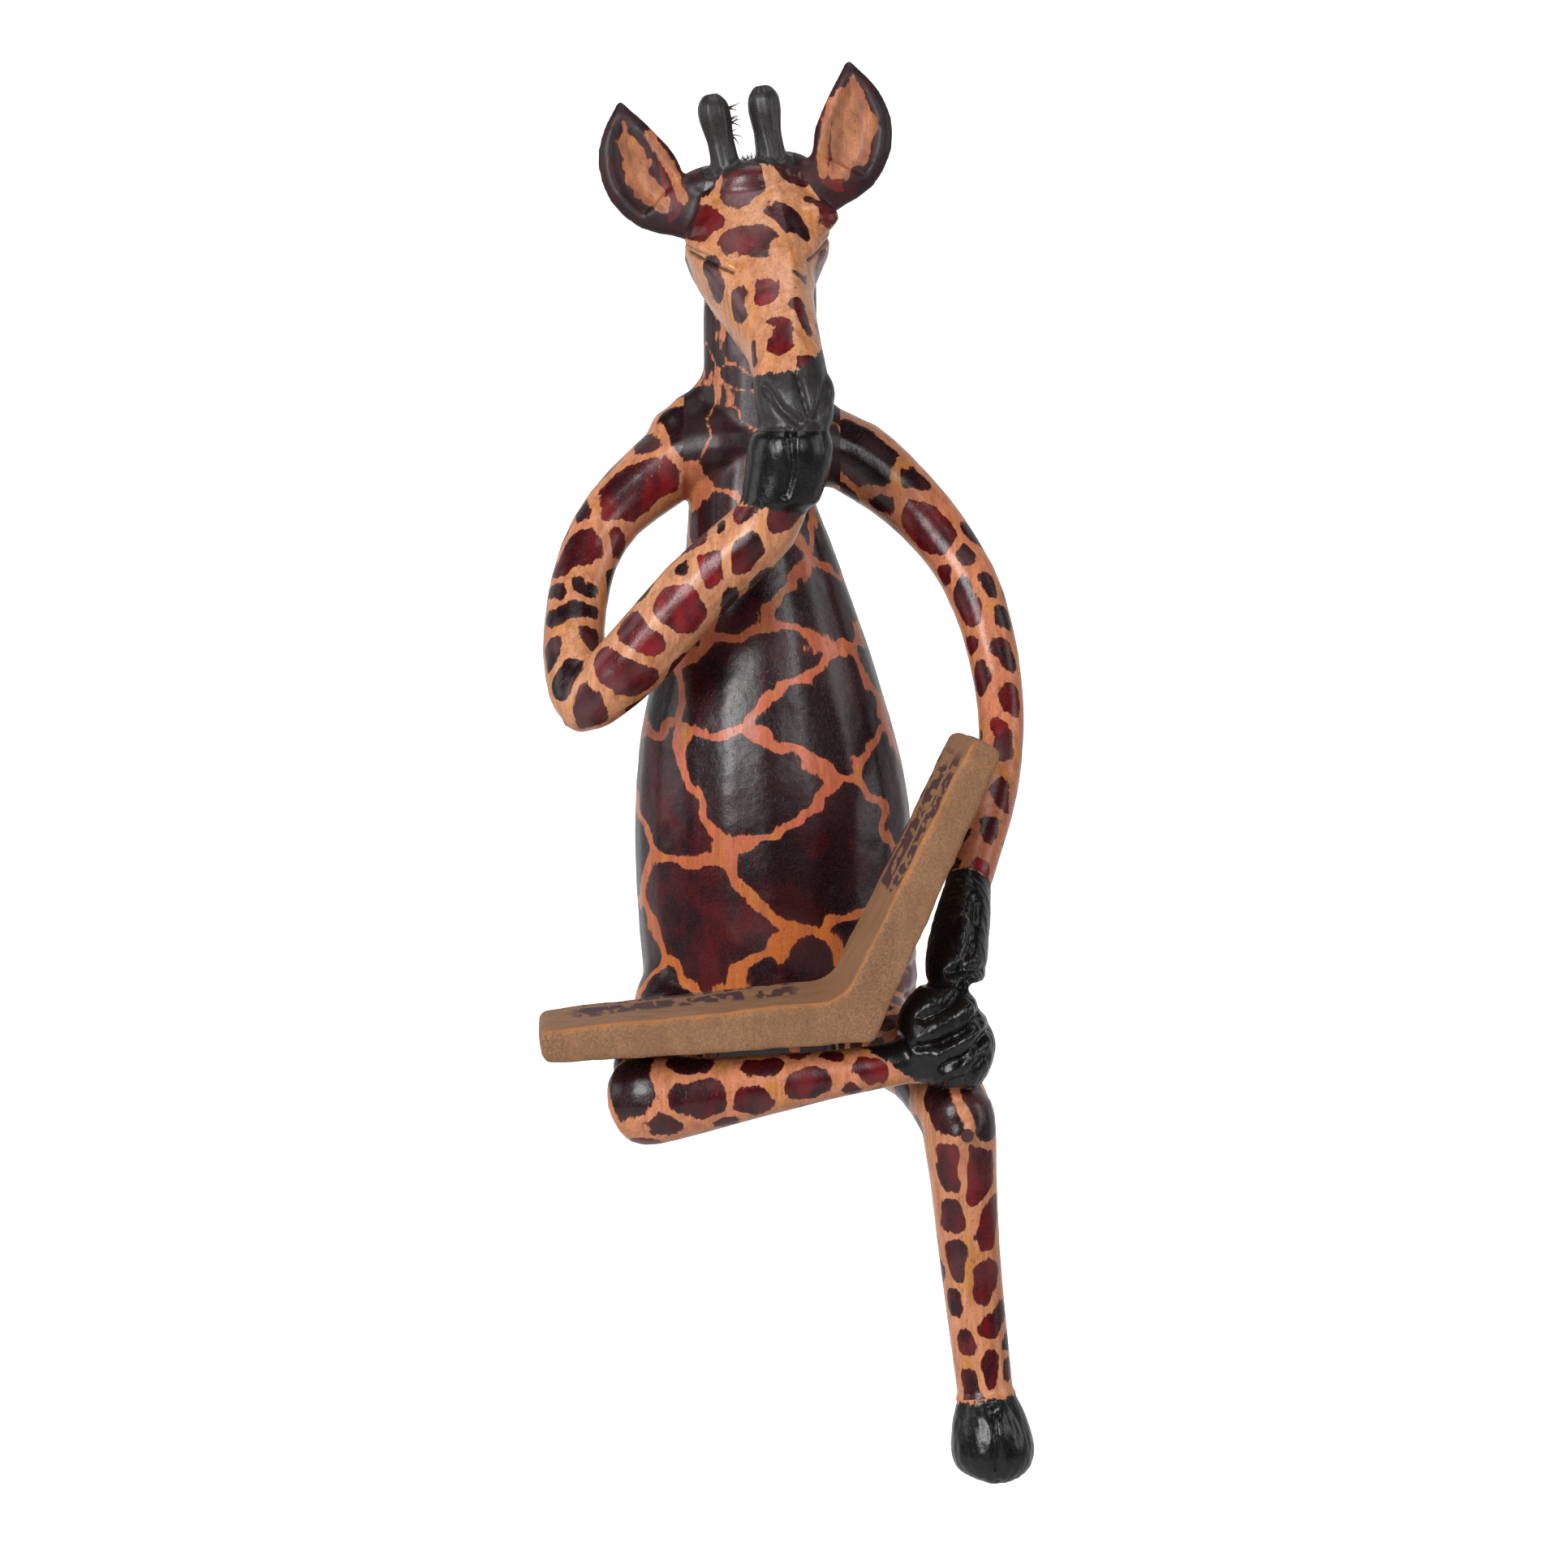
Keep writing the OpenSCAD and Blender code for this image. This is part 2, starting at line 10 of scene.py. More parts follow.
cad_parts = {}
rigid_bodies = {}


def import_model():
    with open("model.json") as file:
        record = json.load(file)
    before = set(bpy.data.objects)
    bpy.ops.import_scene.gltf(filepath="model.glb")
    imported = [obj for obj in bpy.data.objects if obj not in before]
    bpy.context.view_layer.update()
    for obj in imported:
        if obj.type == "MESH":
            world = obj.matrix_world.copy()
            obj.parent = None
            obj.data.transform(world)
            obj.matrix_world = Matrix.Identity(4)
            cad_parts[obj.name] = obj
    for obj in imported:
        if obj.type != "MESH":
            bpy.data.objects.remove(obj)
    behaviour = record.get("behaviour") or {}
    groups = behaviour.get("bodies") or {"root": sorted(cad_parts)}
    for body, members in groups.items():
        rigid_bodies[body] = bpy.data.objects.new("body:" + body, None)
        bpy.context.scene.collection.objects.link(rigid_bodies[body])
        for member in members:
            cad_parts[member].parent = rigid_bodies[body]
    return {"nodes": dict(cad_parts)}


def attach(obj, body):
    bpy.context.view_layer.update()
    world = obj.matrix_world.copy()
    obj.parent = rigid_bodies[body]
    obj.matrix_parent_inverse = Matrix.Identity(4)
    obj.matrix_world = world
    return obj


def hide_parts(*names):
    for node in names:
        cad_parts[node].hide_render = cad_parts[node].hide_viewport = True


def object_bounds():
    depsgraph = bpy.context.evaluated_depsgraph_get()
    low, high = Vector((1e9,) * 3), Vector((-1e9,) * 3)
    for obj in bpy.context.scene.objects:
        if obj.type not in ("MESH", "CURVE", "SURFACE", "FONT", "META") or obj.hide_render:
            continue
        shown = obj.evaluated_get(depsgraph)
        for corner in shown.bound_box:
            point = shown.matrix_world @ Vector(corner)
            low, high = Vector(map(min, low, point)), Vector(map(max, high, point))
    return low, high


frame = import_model()
CAD_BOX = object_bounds()

bl_info = {
    "name": "Carved giraffe",
    "version": (1, 0, 0),
    "blender": (4, 5, 0),
    "location": "3D View > Sidebar > Carving",
    "description": "Carves, stains and lacquers a wooden giraffe that reads a book",
    "category": "Object",
}

MM = 0.001

# The head stands on the neck here, turned and rolled towards the bent arm.
HEAD_AT = Vector((-2.5, 0, 190))
HEAD = (Matrix.Translation(HEAD_AT) @ Matrix.Rotation(math.radians(1.5), 4, "Z")
        @ Matrix.Rotation(math.radians(-10), 4, "Y"))
UNHEAD = HEAD.inverted()

CARVED = ["torso", "head", "ear_left", "ear_right", "horn_left", "horn_right",
          "bent_arm", "resting_arm", "chin_hoof", "knee_hoof", "crossed_leg",
          "crossed_hoof", "hanging_leg", "hanging_hoof"]

NAPE = HEAD.to_3x3() @ Vector((0, -math.sin(math.radians(40)), math.cos(math.radians(40))))
PALM = Vector((-5.5, -16, -16.5)).normalized()
ANKLE_R = Vector((1, 0.12, 0.16)).normalized()
ANKLE_L = Vector((0.12, -0.12, -1)).normalized()
EAR_L = HEAD.to_3x3() @ Vector((0.9, 0, 0.44)).normalized()
EAR_R = HEAD.to_3x3() @ Vector((-0.9, 0, 0.44)).normalized()
UP = HEAD.to_3x3() @ Vector((0, 0, 1))


def on_head(x, y, z):
    return HEAD @ Vector((x, y, z))


# Glue joints, in mm: near piece, far piece, a point, the way to the far piece, reach.
JOINTS = [
    ("torso", "head", on_head(0, -3.2, 3.8), NAPE, 27),
    ("chin_hoof", "head", Vector((2, -44, 161)), Vector((0, 0, 1)), 15),
    ("bent_arm", "chin_hoof", Vector((-2, -44, 143)), Vector((0, 0, 1)), 15),
    ("torso", "bent_arm", Vector((-25, 1, 154)), Vector((-1, 0, 0)), 20),
    ("torso", "resting_arm", Vector((14, 2, 154)), Vector((1, 0, 0)), 20),
    ("torso", "crossed_leg", Vector((-27, -28, 10.5)), Vector((0, -1, 0)), 14),
    ("torso", "hanging_leg", Vector((23, -28, 10.5)), Vector((0, -1, 0)), 14),
    ("resting_arm", "knee_hoof", Vector((44.5, -54, 53)), PALM, 12),
    ("crossed_hoof", "knee_hoof", Vector((40.5, -76, 32)), Vector((0, 0, 1)), 13),
    ("crossed_leg", "crossed_hoof", Vector((29, -84, 14.5)), ANKLE_R, 11),
    ("hanging_leg", "hanging_hoof", Vector((48, -78, -67)), ANKLE_L, 13),
    ("head", "ear_left", on_head(14.5, -2, 27.5), EAR_L, 12),
    ("head", "ear_right", on_head(-14.5, -2, 27.5), EAR_R, 12),
    ("head", "horn_left", on_head(5.7, -4, 36), UP, 7),
    ("head", "horn_right", on_head(-5.7, -4, 36), UP, 7),
]
# The crossed hoof sits in a step cut in the other knee.
STEP_Z = 8
STEP_Y = -70.8
STEP_AT = Vector((40, -78, STEP_Z))
STEP_REACH = 17

# The open book: foot of its spine in mm, its turn, and the slopes of its two pages.
BOOK_SPINE = (21, -98, 21)
BOOK_TURN = np.array(Matrix.Rotation(math.radians(4), 3, "Z")
                     @ Matrix.Rotation(math.radians(-2.5), 3, "X"))
BOOK_RISE, BOOK_DIP = math.radians(66), math.radians(3)

# Wood left standing, on the head: centre and half sizes in the head's own mm.
HEAD_WOOD = [
    ((12.2, -8.5, 20.8), (7.0, 6.5, 4.4)), ((-12.0, -8.0, 21.8), (6.4, 6.5, 4.6)),
    ((-9.0, 2.0, 33.0), (11.0, 9.0, 5.2)), ((7.0, 2.0, 33.0), (9.0, 9.0, 5.4)),
    ((0.0, -6.0, 32.0), (9.0, 6.0, 5.5)), ((5.5, -41.5, -21.0), (4.6, 6.5, 6.0)),
    ((-4.8, -41.0, -21.0), (4.6, 6.5, 6.0)), ((0.6, -41.0, -28.0), (6.5, 7.0, 4.0)),
    ((-14.5, 0.0, 30.0), (6.0, 6.0, 5.0)), ((13.5, 0.0, 30.0), (6.0, 6.0, 5.0)),
]
# Wood left standing on the body, and filler over the pin holes.
BODY_WOOD = [
    ((-19.5, 3, 168.5), (4, 6, 5)), ((-24, 2, 164.5), (5, 7, 5)),
    ((-29, 1, 160), (5, 7.5, 5.5)), ((-25, 1, 153.5), (6, 9.5, 10.8)),
    ((-34.5, -74, 11.5), (6.0, 6.5, 5.8)), ((-28, -8, 15.2), (10, 15, 13)),
    ((14, 2, 155), (6, 9, 10)), ((43, -81, -3), (3, 4.4, 3)), ((-17, -86, 9), (3.4, 3.4, 4.4)),
    ((-27, -28, 10.5), (10.8, 5, 9.4)), ((23, -28, 10.5), (10.6, 5, 9.4)),
    ((1, -49, 153), (3.6, 4.4, 8.5)), ((50, -86, -78), (3.6, 4.8, 9)),
    ((42.3, -72.5, 40), (3.4, 5.4, 8)), ((42, -88, 20), (3.8, 3.8, 10)),
]


# ---- settings ---------------------------------------------------------
def length(name, text, value):
    return bpy.props.FloatProperty(name=name, description=text, default=value,
                                   min=0.0, precision=5, unit="LENGTH")


def colour(name, text, value):
    return bpy.props.FloatVectorProperty(name=name, description=text, default=value,
                                         size=3, min=0.0, max=1.0, subtype="COLOR")


class GiraffeSizes(bpy.types.PropertyGroup):
    grid: length("Carving grid", "Spacing of the surface that is carved", 0.00072)
    body_line: length("Body line", "Half width of the pale lines on the body", 0.0014)
    limb_line: length("Limb line", "Half width of the pale lines on limbs and neck", 0.0010)
    book_wave: length("Book wave", "How far the faces of the book stray from flat", 0.00022)
    bristle: length("Bristle", "Length of a hair of the mane", 0.0042)
    hairs: bpy.props.IntProperty(name="Hairs", description="Hairs in the mane",
                                 default=620, min=50, max=900)


class GiraffeColours(bpy.types.PropertyGroup):
    pale: colour("Pale wood", "Bare wood on face, arms and legs", (0.52, 0.245, 0.122))
    warm: colour("Warm wood", "Scorched wood between the body patches", (0.46, 0.094, 0.042))
    golden: colour("Golden wood", "Wood low on the body", (0.42, 0.110, 0.018))
    aubergine: colour("Dark stain", "The darkest stain", (0.0075, 0.0012, 0.0021))
    crimson: colour("Red stain", "The reddest stain", (0.22, 0.0045, 0.006))
    black: colour("Black", "Hooves, muzzle and horns", (0.0032, 0.0024, 0.0026))
    board: colour("Board", "The raw board of the book", (0.200, 0.088, 0.030))
    ink: colour("Ink", "Painted marks on the pages", (0.030, 0.003, 0.008))
    fibre: colour("Mane", "Fibre of the mane", (0.022, 0.014, 0.010))
    dowel: colour("Dowel", "Dowels, pins and peg", (0.55, 0.36, 0.17))


def sizes():
    return bpy.context.scene.giraffe_sizes


def tint(name):
    return (*getattr(bpy.context.scene.giraffe_colours, name), 1.0)


# ---- mesh helpers -----------------------------------------------------
def only(*obs):
    if bpy.context.object and bpy.context.object.mode != "OBJECT":
        bpy.ops.object.mode_set(mode="OBJECT")
    bpy.ops.object.select_all(action="DESELECT")
    for ob in obs:
        ob.select_set(True)
    bpy.context.view_layer.objects.active = obs[0]


def edit(ob, pick="SELECT"):
    only(ob)
    bpy.ops.object.mode_set(mode="EDIT")
    bpy.ops.mesh.select_all(action=pick)


def done():
    bpy.ops.object.mode_set(mode="OBJECT")


def copy_of(plain, name):
    """A merged copy of a CAD node's mesh."""
    mesh = frame["nodes"][plain].data.copy()
    mesh.materials.clear()
    ob = bpy.data.objects.new(name, mesh)
    bpy.context.scene.collection.objects.link(ob)
    edit(ob)
    bpy.ops.mesh.remove_doubles(threshold=0.000002)
    done()
    return ob


def lump(at, half, turn=None):
    """An ellipsoid of wood to be merged into a blank."""
    bpy.ops.object.select_all(action="DESELECT")
    bpy.ops.mesh.primitive_uv_sphere_add(segments=28, ring_count=16, radius=1)
    ob = bpy.context.object
    ob.data.transform(Matrix.Translation(at * MM) @ (turn or Matrix.Identity(4))
                      @ Matrix.Diagonal((*[h * MM for h in half], 1)))
    return ob


def apply(ob, kind, **values):
    only(ob)
    mod = ob.modifiers.new(kind.lower(), kind)
    for key, value in values.items():
        setattr(mod, key, value)
    bpy.ops.object.modifier_apply(modifier=mod.name)


def refine(ob, factor, iterations):
    """Halves the spacing of the mesh, smooths it and gives its points and normals."""
    edit(ob)
    bpy.ops.mesh.subdivide(number_cuts=1, smoothness=0.0)
    done()
    apply(ob, "SMOOTH", factor=factor, iterations=iterations)
    return points(ob), normals(ob)


def read(data, name):
    out = np.empty(len(data) * 3, np.float32)
    data.foreach_get(name, out)
    return out.reshape(-1, 3).astype(float)


def points(ob):
    return read(ob.data.vertices, "co") / MM


def normals(ob):
    return read(ob.data.vertices, "normal")


def centres(ob):
    return read(ob.data.polygons, "center") / MM


def put_points(ob, co):
    ob.data.vertices.foreach_set("co", (co * MM).astype(np.float32).ravel())
    ob.data.update()


def pick_faces(ob, mask):
    """Enters edit mode with just these faces selected."""
    edit(ob, "DESELECT")
    bpy.ops.mesh.select_mode(type="FACE")
    done()
    ob.data.polygons.foreach_set("select", mask)
    bpy.ops.object.mode_set(mode="EDIT")


def in_head(co):
    m = np.array(UNHEAD)
    return co @ m[:3, :3].T + m[:3, 3]


def away(co, at, way):
    return (co - np.array(at)) @ np.array(way)


def apart(co, at):
    return np.linalg.norm(co - np.array(at), axis=1)


def unit(values):
    return np.clip(values, 0, 1)


def write(ob, **marks):
    """Stores marks on the points of a piece; a single number goes on all of them."""
    for name, values in marks.items():
        layer = ob.data.attributes.get(name) or ob.data.attributes.new(name, "FLOAT", "POINT")
        values = np.broadcast_to(values, len(ob.data.vertices))
        layer.data.foreach_set("value", values.astype(np.float32))


def wobble(co, pace, seed):
    """Smooth random numbers from -1 to 1, one for each point."""
    rng = np.random.default_rng(seed)
    out = np.zeros(len(co))
    for i in range(6):
        way = rng.normal(size=3)
        way *= (0.6 + 0.25 * i) / (pace * np.linalg.norm(way))
        out += np.sin(co @ way * 2 * math.pi + rng.uniform(0, 6.28))
    return out / 6 ** 0.5 / 1.4


def to_line(co, path):
    """Distance from each point to a line through several points."""
    best = np.full(len(co), 1e9)
    path = np.array(path, float)
    for a, b in zip(path[:-1], path[1:]):
        ab = b - a
        t = np.clip((co - a) @ ab / (ab @ ab), 0, 1)
        best = np.minimum(best, np.linalg.norm(co - a - t[:, None] * ab, axis=1))
    return best


def gouge(co, no, cuts, where, flat=None):
    """Presses grooves, or with negative depth raises ridges, along paths in (x, z)."""
    for path, width, depth in cuts:
        d = to_line((co if flat is None else flat)[:, [0, 2]], path)
        push = depth * np.exp(-((d / width) ** 2)) * where
        co = co - no * push[:, None]
    return co


# ---- node helpers -----------------------------------------------------
def node(tree, kind, **values):
    n = tree.nodes.new("ShaderNode" + kind)
    for key, value in values.items():
        setattr(n, key, value)
    return n


def feed(tree, socket, value):
    if isinstance(value, bpy.types.NodeSocket):
        tree.links.new(value, socket)
    elif value is not None:
        socket.default_value = value


def calc(tree, op, a, b=None, c=None):
    n = node(tree, "Math", operation=op)
    for socket, value in zip(n.inputs, (a, b, c)):
        feed(tree, socket, value)
    return n.outputs[0]


def plus(tree, a, b):
    return calc(tree, "ADD", a, b)


def minus(tree, a, b):
    return calc(tree, "SUBTRACT", a, b)


def times(tree, a, b):
    return calc(tree, "MULTIPLY", a, b)


def ramp(tree, value, lo, hi, a=0.0, b=1.0, smooth=True):
    n = node(tree, "MapRange", interpolation_type="SMOOTHSTEP" if smooth else "LINEAR")
    for socket, v in zip(n.inputs, (value, lo, hi, a, b)):
        feed(tree, socket, v)
    return n.outputs[0]


def blend(tree, fac, a, b):
    n = node(tree, "Mix", data_type="RGBA", blend_type="MIX")
    feed(tree, n.inputs[0], fac)
    feed(tree, n.inputs[6], a)
    feed(tree, n.inputs[7], b)
    return n.outputs[2]


def layers(tree, base, *coats):
    """Lays coats over a colour: for each its mask, its strength and its own colour."""
    for mask, strength, over in coats:
        base = blend(tree, times(tree, mask, strength), base, over)
    return base


def noise_of(tree, scale, stretch=(1, 1, 1), detail=2.0, rough=0.5, warp=0.0):
    place = node(tree, "TexCoord").outputs["Object"]
    m = node(tree, "Mapping")
    feed(tree, m.inputs["Vector"], place)
    m.inputs["Scale"].default_value = stretch
    n = node(tree, "TexNoise")
    feed(tree, n.inputs["Vector"], m.outputs[0])
    n.inputs["Scale"].default_value = scale
    n.inputs["Detail"].default_value = detail
    n.inputs["Roughness"].default_value = rough
    n.inputs["Distortion"].default_value = warp
    return n.outputs[0]


def attribute(tree, name):
    n = node(tree, "Attribute", attribute_type="GEOMETRY", attribute_name=name)
    return n.outputs["Fac"]


def group(name, inputs, outputs, build):
    """A shader group, made once."""
    tree = bpy.data.node_groups.get(name)
    if tree:
        return tree
    tree = bpy.data.node_groups.new(name, "ShaderNodeTree")
    for label, value in inputs:
        s = tree.interface.new_socket(label, in_out="INPUT", socket_type="NodeSocketFloat")
        s.default_value = value
    for label in outputs:
        tree.interface.new_socket(label, in_out="OUTPUT", socket_type="NodeSocketFloat")
    a = tree.nodes.new("NodeGroupInput")
    b = tree.nodes.new("NodeGroupOutput")
    for socket, value in zip(b.inputs, build(tree, a.outputs)):
        feed(tree, socket, value)
    return tree


def use(tree, made, **values):
    n = node(tree, "Group")
    n.node_tree = made
    for key, value in values.items():
        feed(tree, n.inputs[key.replace("_", " ")], value)
    return n.outputs


def ragged_edge():
    """A painted edge with brush spikes along the grain."""
    def build(t, i):
        spikes = noise_of(t, 900, (1, 1, 0.16), 2.0, 0.6)
        soft = noise_of(t, 420, (1, 1, 0.8), 2.0)
        both = plus(t, minus(t, spikes, 0.5),
                    times(t, minus(t, soft, 0.5), 0.7))
        edge = calc(t, "MULTIPLY_ADD", both, i["Spread"], i["Field"])
        return [ramp(t, edge, times(t, i["Softness"], -1.0), i["Softness"]), edge]
    return group("ragged edge", [("Field", 0.0), ("Spread", 1.6), ("Softness", 0.12)],
                 ["Mask", "Edge"], build)


def wood_grain():
    """Long streaks, short dark pores and their height."""
    def build(t, i):
        streak = noise_of(t, 520, (1, 1, 0.07), 4.0, 0.65, 0.6)
        pores = noise_of(t, 2300, (1, 1, 0.22), 2.0, 0.5)
        ticks = ramp(t, pores, minus(t, 0.70, times(t, i["Pores"], 0.1)),
                     0.78)
        height = minus(t, times(t, streak, 0.5),
                      times(t, ticks, 0.9))
        return [streak, ticks, height]
    return group("wood grain", [("Pores", 0.5)], ["Streak", "Ticks", "Height"], build)


def stain_cloud():
    """Uneven depth of brushed stain."""
    def build(t, i):
        big = noise_of(t, 130, (1, 1, 0.6), 3.0, 0.6, 0.4)
        fine = noise_of(t, 1900, (1, 1, 1), 2.0, 0.7)
        return [ramp(t, big, minus(t, 0.5, i["Spread"]), plus(t, 0.5, i["Spread"])), fine]
    return group("stain cloud", [("Spread", 0.2)], ["Cloud", "Fine"], build)


def shader(name):
    mat = bpy.data.materials.new(name)
    mat.use_nodes = True
    tree = mat.node_tree
    bsdf = next(n for n in tree.nodes if n.type == "BSDF_PRINCIPLED")
    return mat, tree, bsdf


def bump(tree, height, distance, strength=1.0, below=None):
    n = node(tree, "Bump")
    n.inputs["Strength"].default_value = strength
    n.inputs["Distance"].default_value = distance
    feed(tree, n.inputs["Height"], height)
    if below is not None:
        feed(tree, n.inputs["Normal"], below)
    return n.outputs[0]


# Colours that break up the wood, the stain and the black paint.
HONEY, STREAK = (0.46, 0.190, 0.034, 1), (0.19, 0.056, 0.026, 1)
SHADED, FLECK = (0.15, 0.055, 0.026, 1), (0.14, 0.038, 0.018, 1)
PORE, SLIT_DARK = (0.07, 0.018, 0.008, 1), (0.020, 0.008, 0.008, 1)
STAIN_FLECK, STAIN_RIM = (0.050, 0.010, 0.016, 1), (0.050, 0.008, 0.007, 1)
# The mauve tint that lightens the stain: random wear, and on the face a painted sheen.
SHEEN_AND_WEAR, DUSTY = (0.17, 0.075, 0.075, 1), (0.020, 0.018, 0.0175, 1)
# The same for the board of the book.
BOARD_PALE, BOARD_FLECK = (0.27, 0.126, 0.050, 1), (0.13, 0.068, 0.034, 1)
BOARD_PORE, BOARD_RIM = (0.07, 0.040, 0.022, 1), (0.42, 0.135, 0.018, 1)
# Darker specks on the board, more on its front face, most near the far ends of the pages and
# some at the spine.
BOARD_DARKER = (0.085, 0.045, 0.026, 1)
PAGE_ROW = 20.0


def hide_finish():
    """Scorched pale wood, stained patches and black paint, all under lacquer."""
    if bpy.data.materials.get("lacquered hide"):
        return bpy.data.materials["lacquered hide"]
    mat, t, bsdf = shader("lacquered hide")
    grain = use(t, wood_grain(), Pores=0.6)
    cloud = use(t, stain_cloud())
    fine = cloud["Fine"]
    patch = use(t, ragged_edge(), Field=attribute(t, "patch"), Spread=1.7, Softness=0.16)
    paint = use(t, ragged_edge(), Field=attribute(t, "black"), Spread=2.6, Softness=0.2)
    dust = attribute(t, "dust")
    # bare wood
    wood = blend(t, attribute(t, "pale"), tint("warm"), tint("pale"))
    honey = ramp(t, noise_of(t, 210, (1, 1, 0.35), 3.0, 0.6, 0.5), 0.50, 0.68)
    wood = layers(t, wood, (honey, 0.85, HONEY), (attribute(t, "gold"), 1, tint("golden")),
                  (ramp(t, grain["Streak"], 0.32, 0.70), 0.55, STREAK),
                  (attribute(t, "shade"), 1, SHADED), (ramp(t, fine, 0.52, 0.72), 0.58, FLECK),
                  (grain["Ticks"], 0.8, PORE))
    # stained patch: red where the stain is thin, near black where it is thick
    red = times(t, attribute(t, "tone"), calc(t, "MULTIPLY_ADD", cloud["Cloud"], 0.85, 0.2))
    red = ramp(t, red, 0.08, 1.0, smooth=False)
    stain = blend(t, red, tint("aubergine"), tint("crimson"))
    # the stain is lighter where worn, and on the face where a sheen is painted
    stain = layers(t, stain, (ramp(t, fine, 0.40, 0.75), 0.26, STAIN_FLECK),
                   (ramp(t, patch["Edge"], 0.0, 0.9, 0.55, 0.0), 1, STAIN_RIM),
                   (attribute(t, "worn"), 1, SHEEN_AND_WEAR))
    base = blend(t, patch["Mask"], wood, stain)
    # darker in the carved slits of the closed eyes
    base = layers(t, base, (attribute(t, "slit"), 0.85, SLIT_DARK))
    coal = blend(t, times(t, dust, ramp(t, fine, 0.30, 0.70, 0.55, 1.0)), tint("black"), DUSTY)
    feed(t, bsdf.inputs["Base Color"], blend(t, paint["Mask"], base, coal))
    rough = plus(t, ramp(t, fine, 0.2, 0.8, 0.22, 0.34),
                 times(t, paint["Mask"], times(t, dust, 0.12)))
    feed(t, bsdf.inputs["Roughness"], plus(t, rough, times(t, attribute(t, "dull"), 0.22)))
    bsdf.inputs["Coat Weight"].default_value = 0.05
    bsdf.inputs["Coat Roughness"].default_value = 0.24
    bsdf.inputs["Specular IOR Level"].default_value = 0.31
    relief = bump(t, plus(t, times(t, fine, 0.8), grain["Height"]), 0.00012, 0.38)
    relief = bump(t, plus(t, noise_of(t, 180, detail=2.0), times(t, patch["Mask"], 0.05)),
                  0.0006, 0.35, relief)
    feed(t, bsdf.inputs["Normal"], relief)
    return mat


def board_finish():
    """Raw speckled board with rows of painted marks that spell nothing."""
    mat, t, bsdf = shader("raw board")
    grain = use(t, wood_grain(), Pores=0.9)
    cloud = use(t, stain_cloud())
    fine = cloud["Fine"]
    # marks: broken bars in rows, set out along the page
    row = calc(t, "DIVIDE", attribute(t, "page_t"), PAGE_ROW)
    in_row = calc(t, "FRACT", row)
    pos = node(t, "CombineXYZ")
    feed(t, pos.inputs[0], times(t, attribute(t, "page_s"), 0.42))
    feed(t, pos.inputs[1], times(t, calc(t, "FLOOR", row), 7.3))
    feed(t, pos.inputs[2], times(t, attribute(t, "page_t"), 0.09))
    bars = node(t, "TexNoise")
    feed(t, bars.inputs["Vector"], pos.outputs[0])
    bars.inputs["Scale"].default_value = 1.0
    bars.inputs["Detail"].default_value = 1.5
    bars.inputs["Distortion"].default_value = 0.5
    tall = times(t, ramp(t, in_row, 0.04, 0.10), ramp(t, in_row, 0.94, 0.88))
    marks = times(t, ramp(t, bars.outputs[0], 0.45, 0.48), tall)
    marks = times(t, marks, attribute(t, "page"))
    base = layers(t, tint("board"), (ramp(t, cloud["Cloud"], 0.1, 0.9, 0.0, 0.6), 1, BOARD_PALE),
                  (ramp(t, fine, 0.42, 0.68), 0.45, BOARD_FLECK),
                  (grain["Ticks"], 0.5, BOARD_PORE), (attribute(t, "rim"), 0.85, BOARD_RIM),
                  (attribute(t, "grime"), ramp(t, fine, 0.3, 0.6), BOARD_DARKER),
                  (marks, 0.93, tint("ink")))
    feed(t, bsdf.inputs["Base Color"], base)
    feed(t, bsdf.inputs["Roughness"], ramp(t, fine, 0.2, 0.8, 0.62, 0.85))
    feed(t, bsdf.inputs["Normal"], bump(t, plus(t, fine, grain["Height"]), 0.00018, 0.6))
    return mat


def plain_wood(name, base_tint, other, rough):
    """A small wooden part with streaked grain."""
    mat, t, bsdf = shader(name)
    grain = use(t, wood_grain(), Pores=0.7)
    cloud = use(t, stain_cloud())
    base = blend(t, ramp(t, grain["Streak"], 0.3, 0.7), base_tint, other)
    base = blend(t, times(t, grain["Ticks"], 0.5), base, (0.05, 0.025, 0.012, 1))
    feed(t, bsdf.inputs["Base Color"], base)
    feed(t, bsdf.inputs["Roughness"], ramp(t, cloud["Fine"], 0.2, 0.8, rough, rough + 0.15))
    feed(t, bsdf.inputs["Normal"], bump(t, grain["Height"], 0.00012, 0.6))
    return mat


def fibre_finish():
    mat, t, bsdf = shader("mane fibre")
    cloud = use(t, stain_cloud())
    base = blend(t, ramp(t, cloud["Fine"], 0.3, 0.7), tint("fibre"), (0.060, 0.038, 0.022, 1))
    base = blend(t, ramp(t, cloud["Cloud"], 0.5, 1.0, 0.0, 0.5), base, (0.012, 0.009, 0.008, 1))
    feed(t, bsdf.inputs["Base Color"], base)
    feed(t, bsdf.inputs["Roughness"], ramp(t, cloud["Fine"], 0.2, 0.8, 0.45, 0.7))
    feed(t, bsdf.inputs["Normal"], bump(t, cloud["Fine"], 0.0002, 0.7))
    bsdf.inputs["Sheen Weight"].default_value = 0.25
    return mat


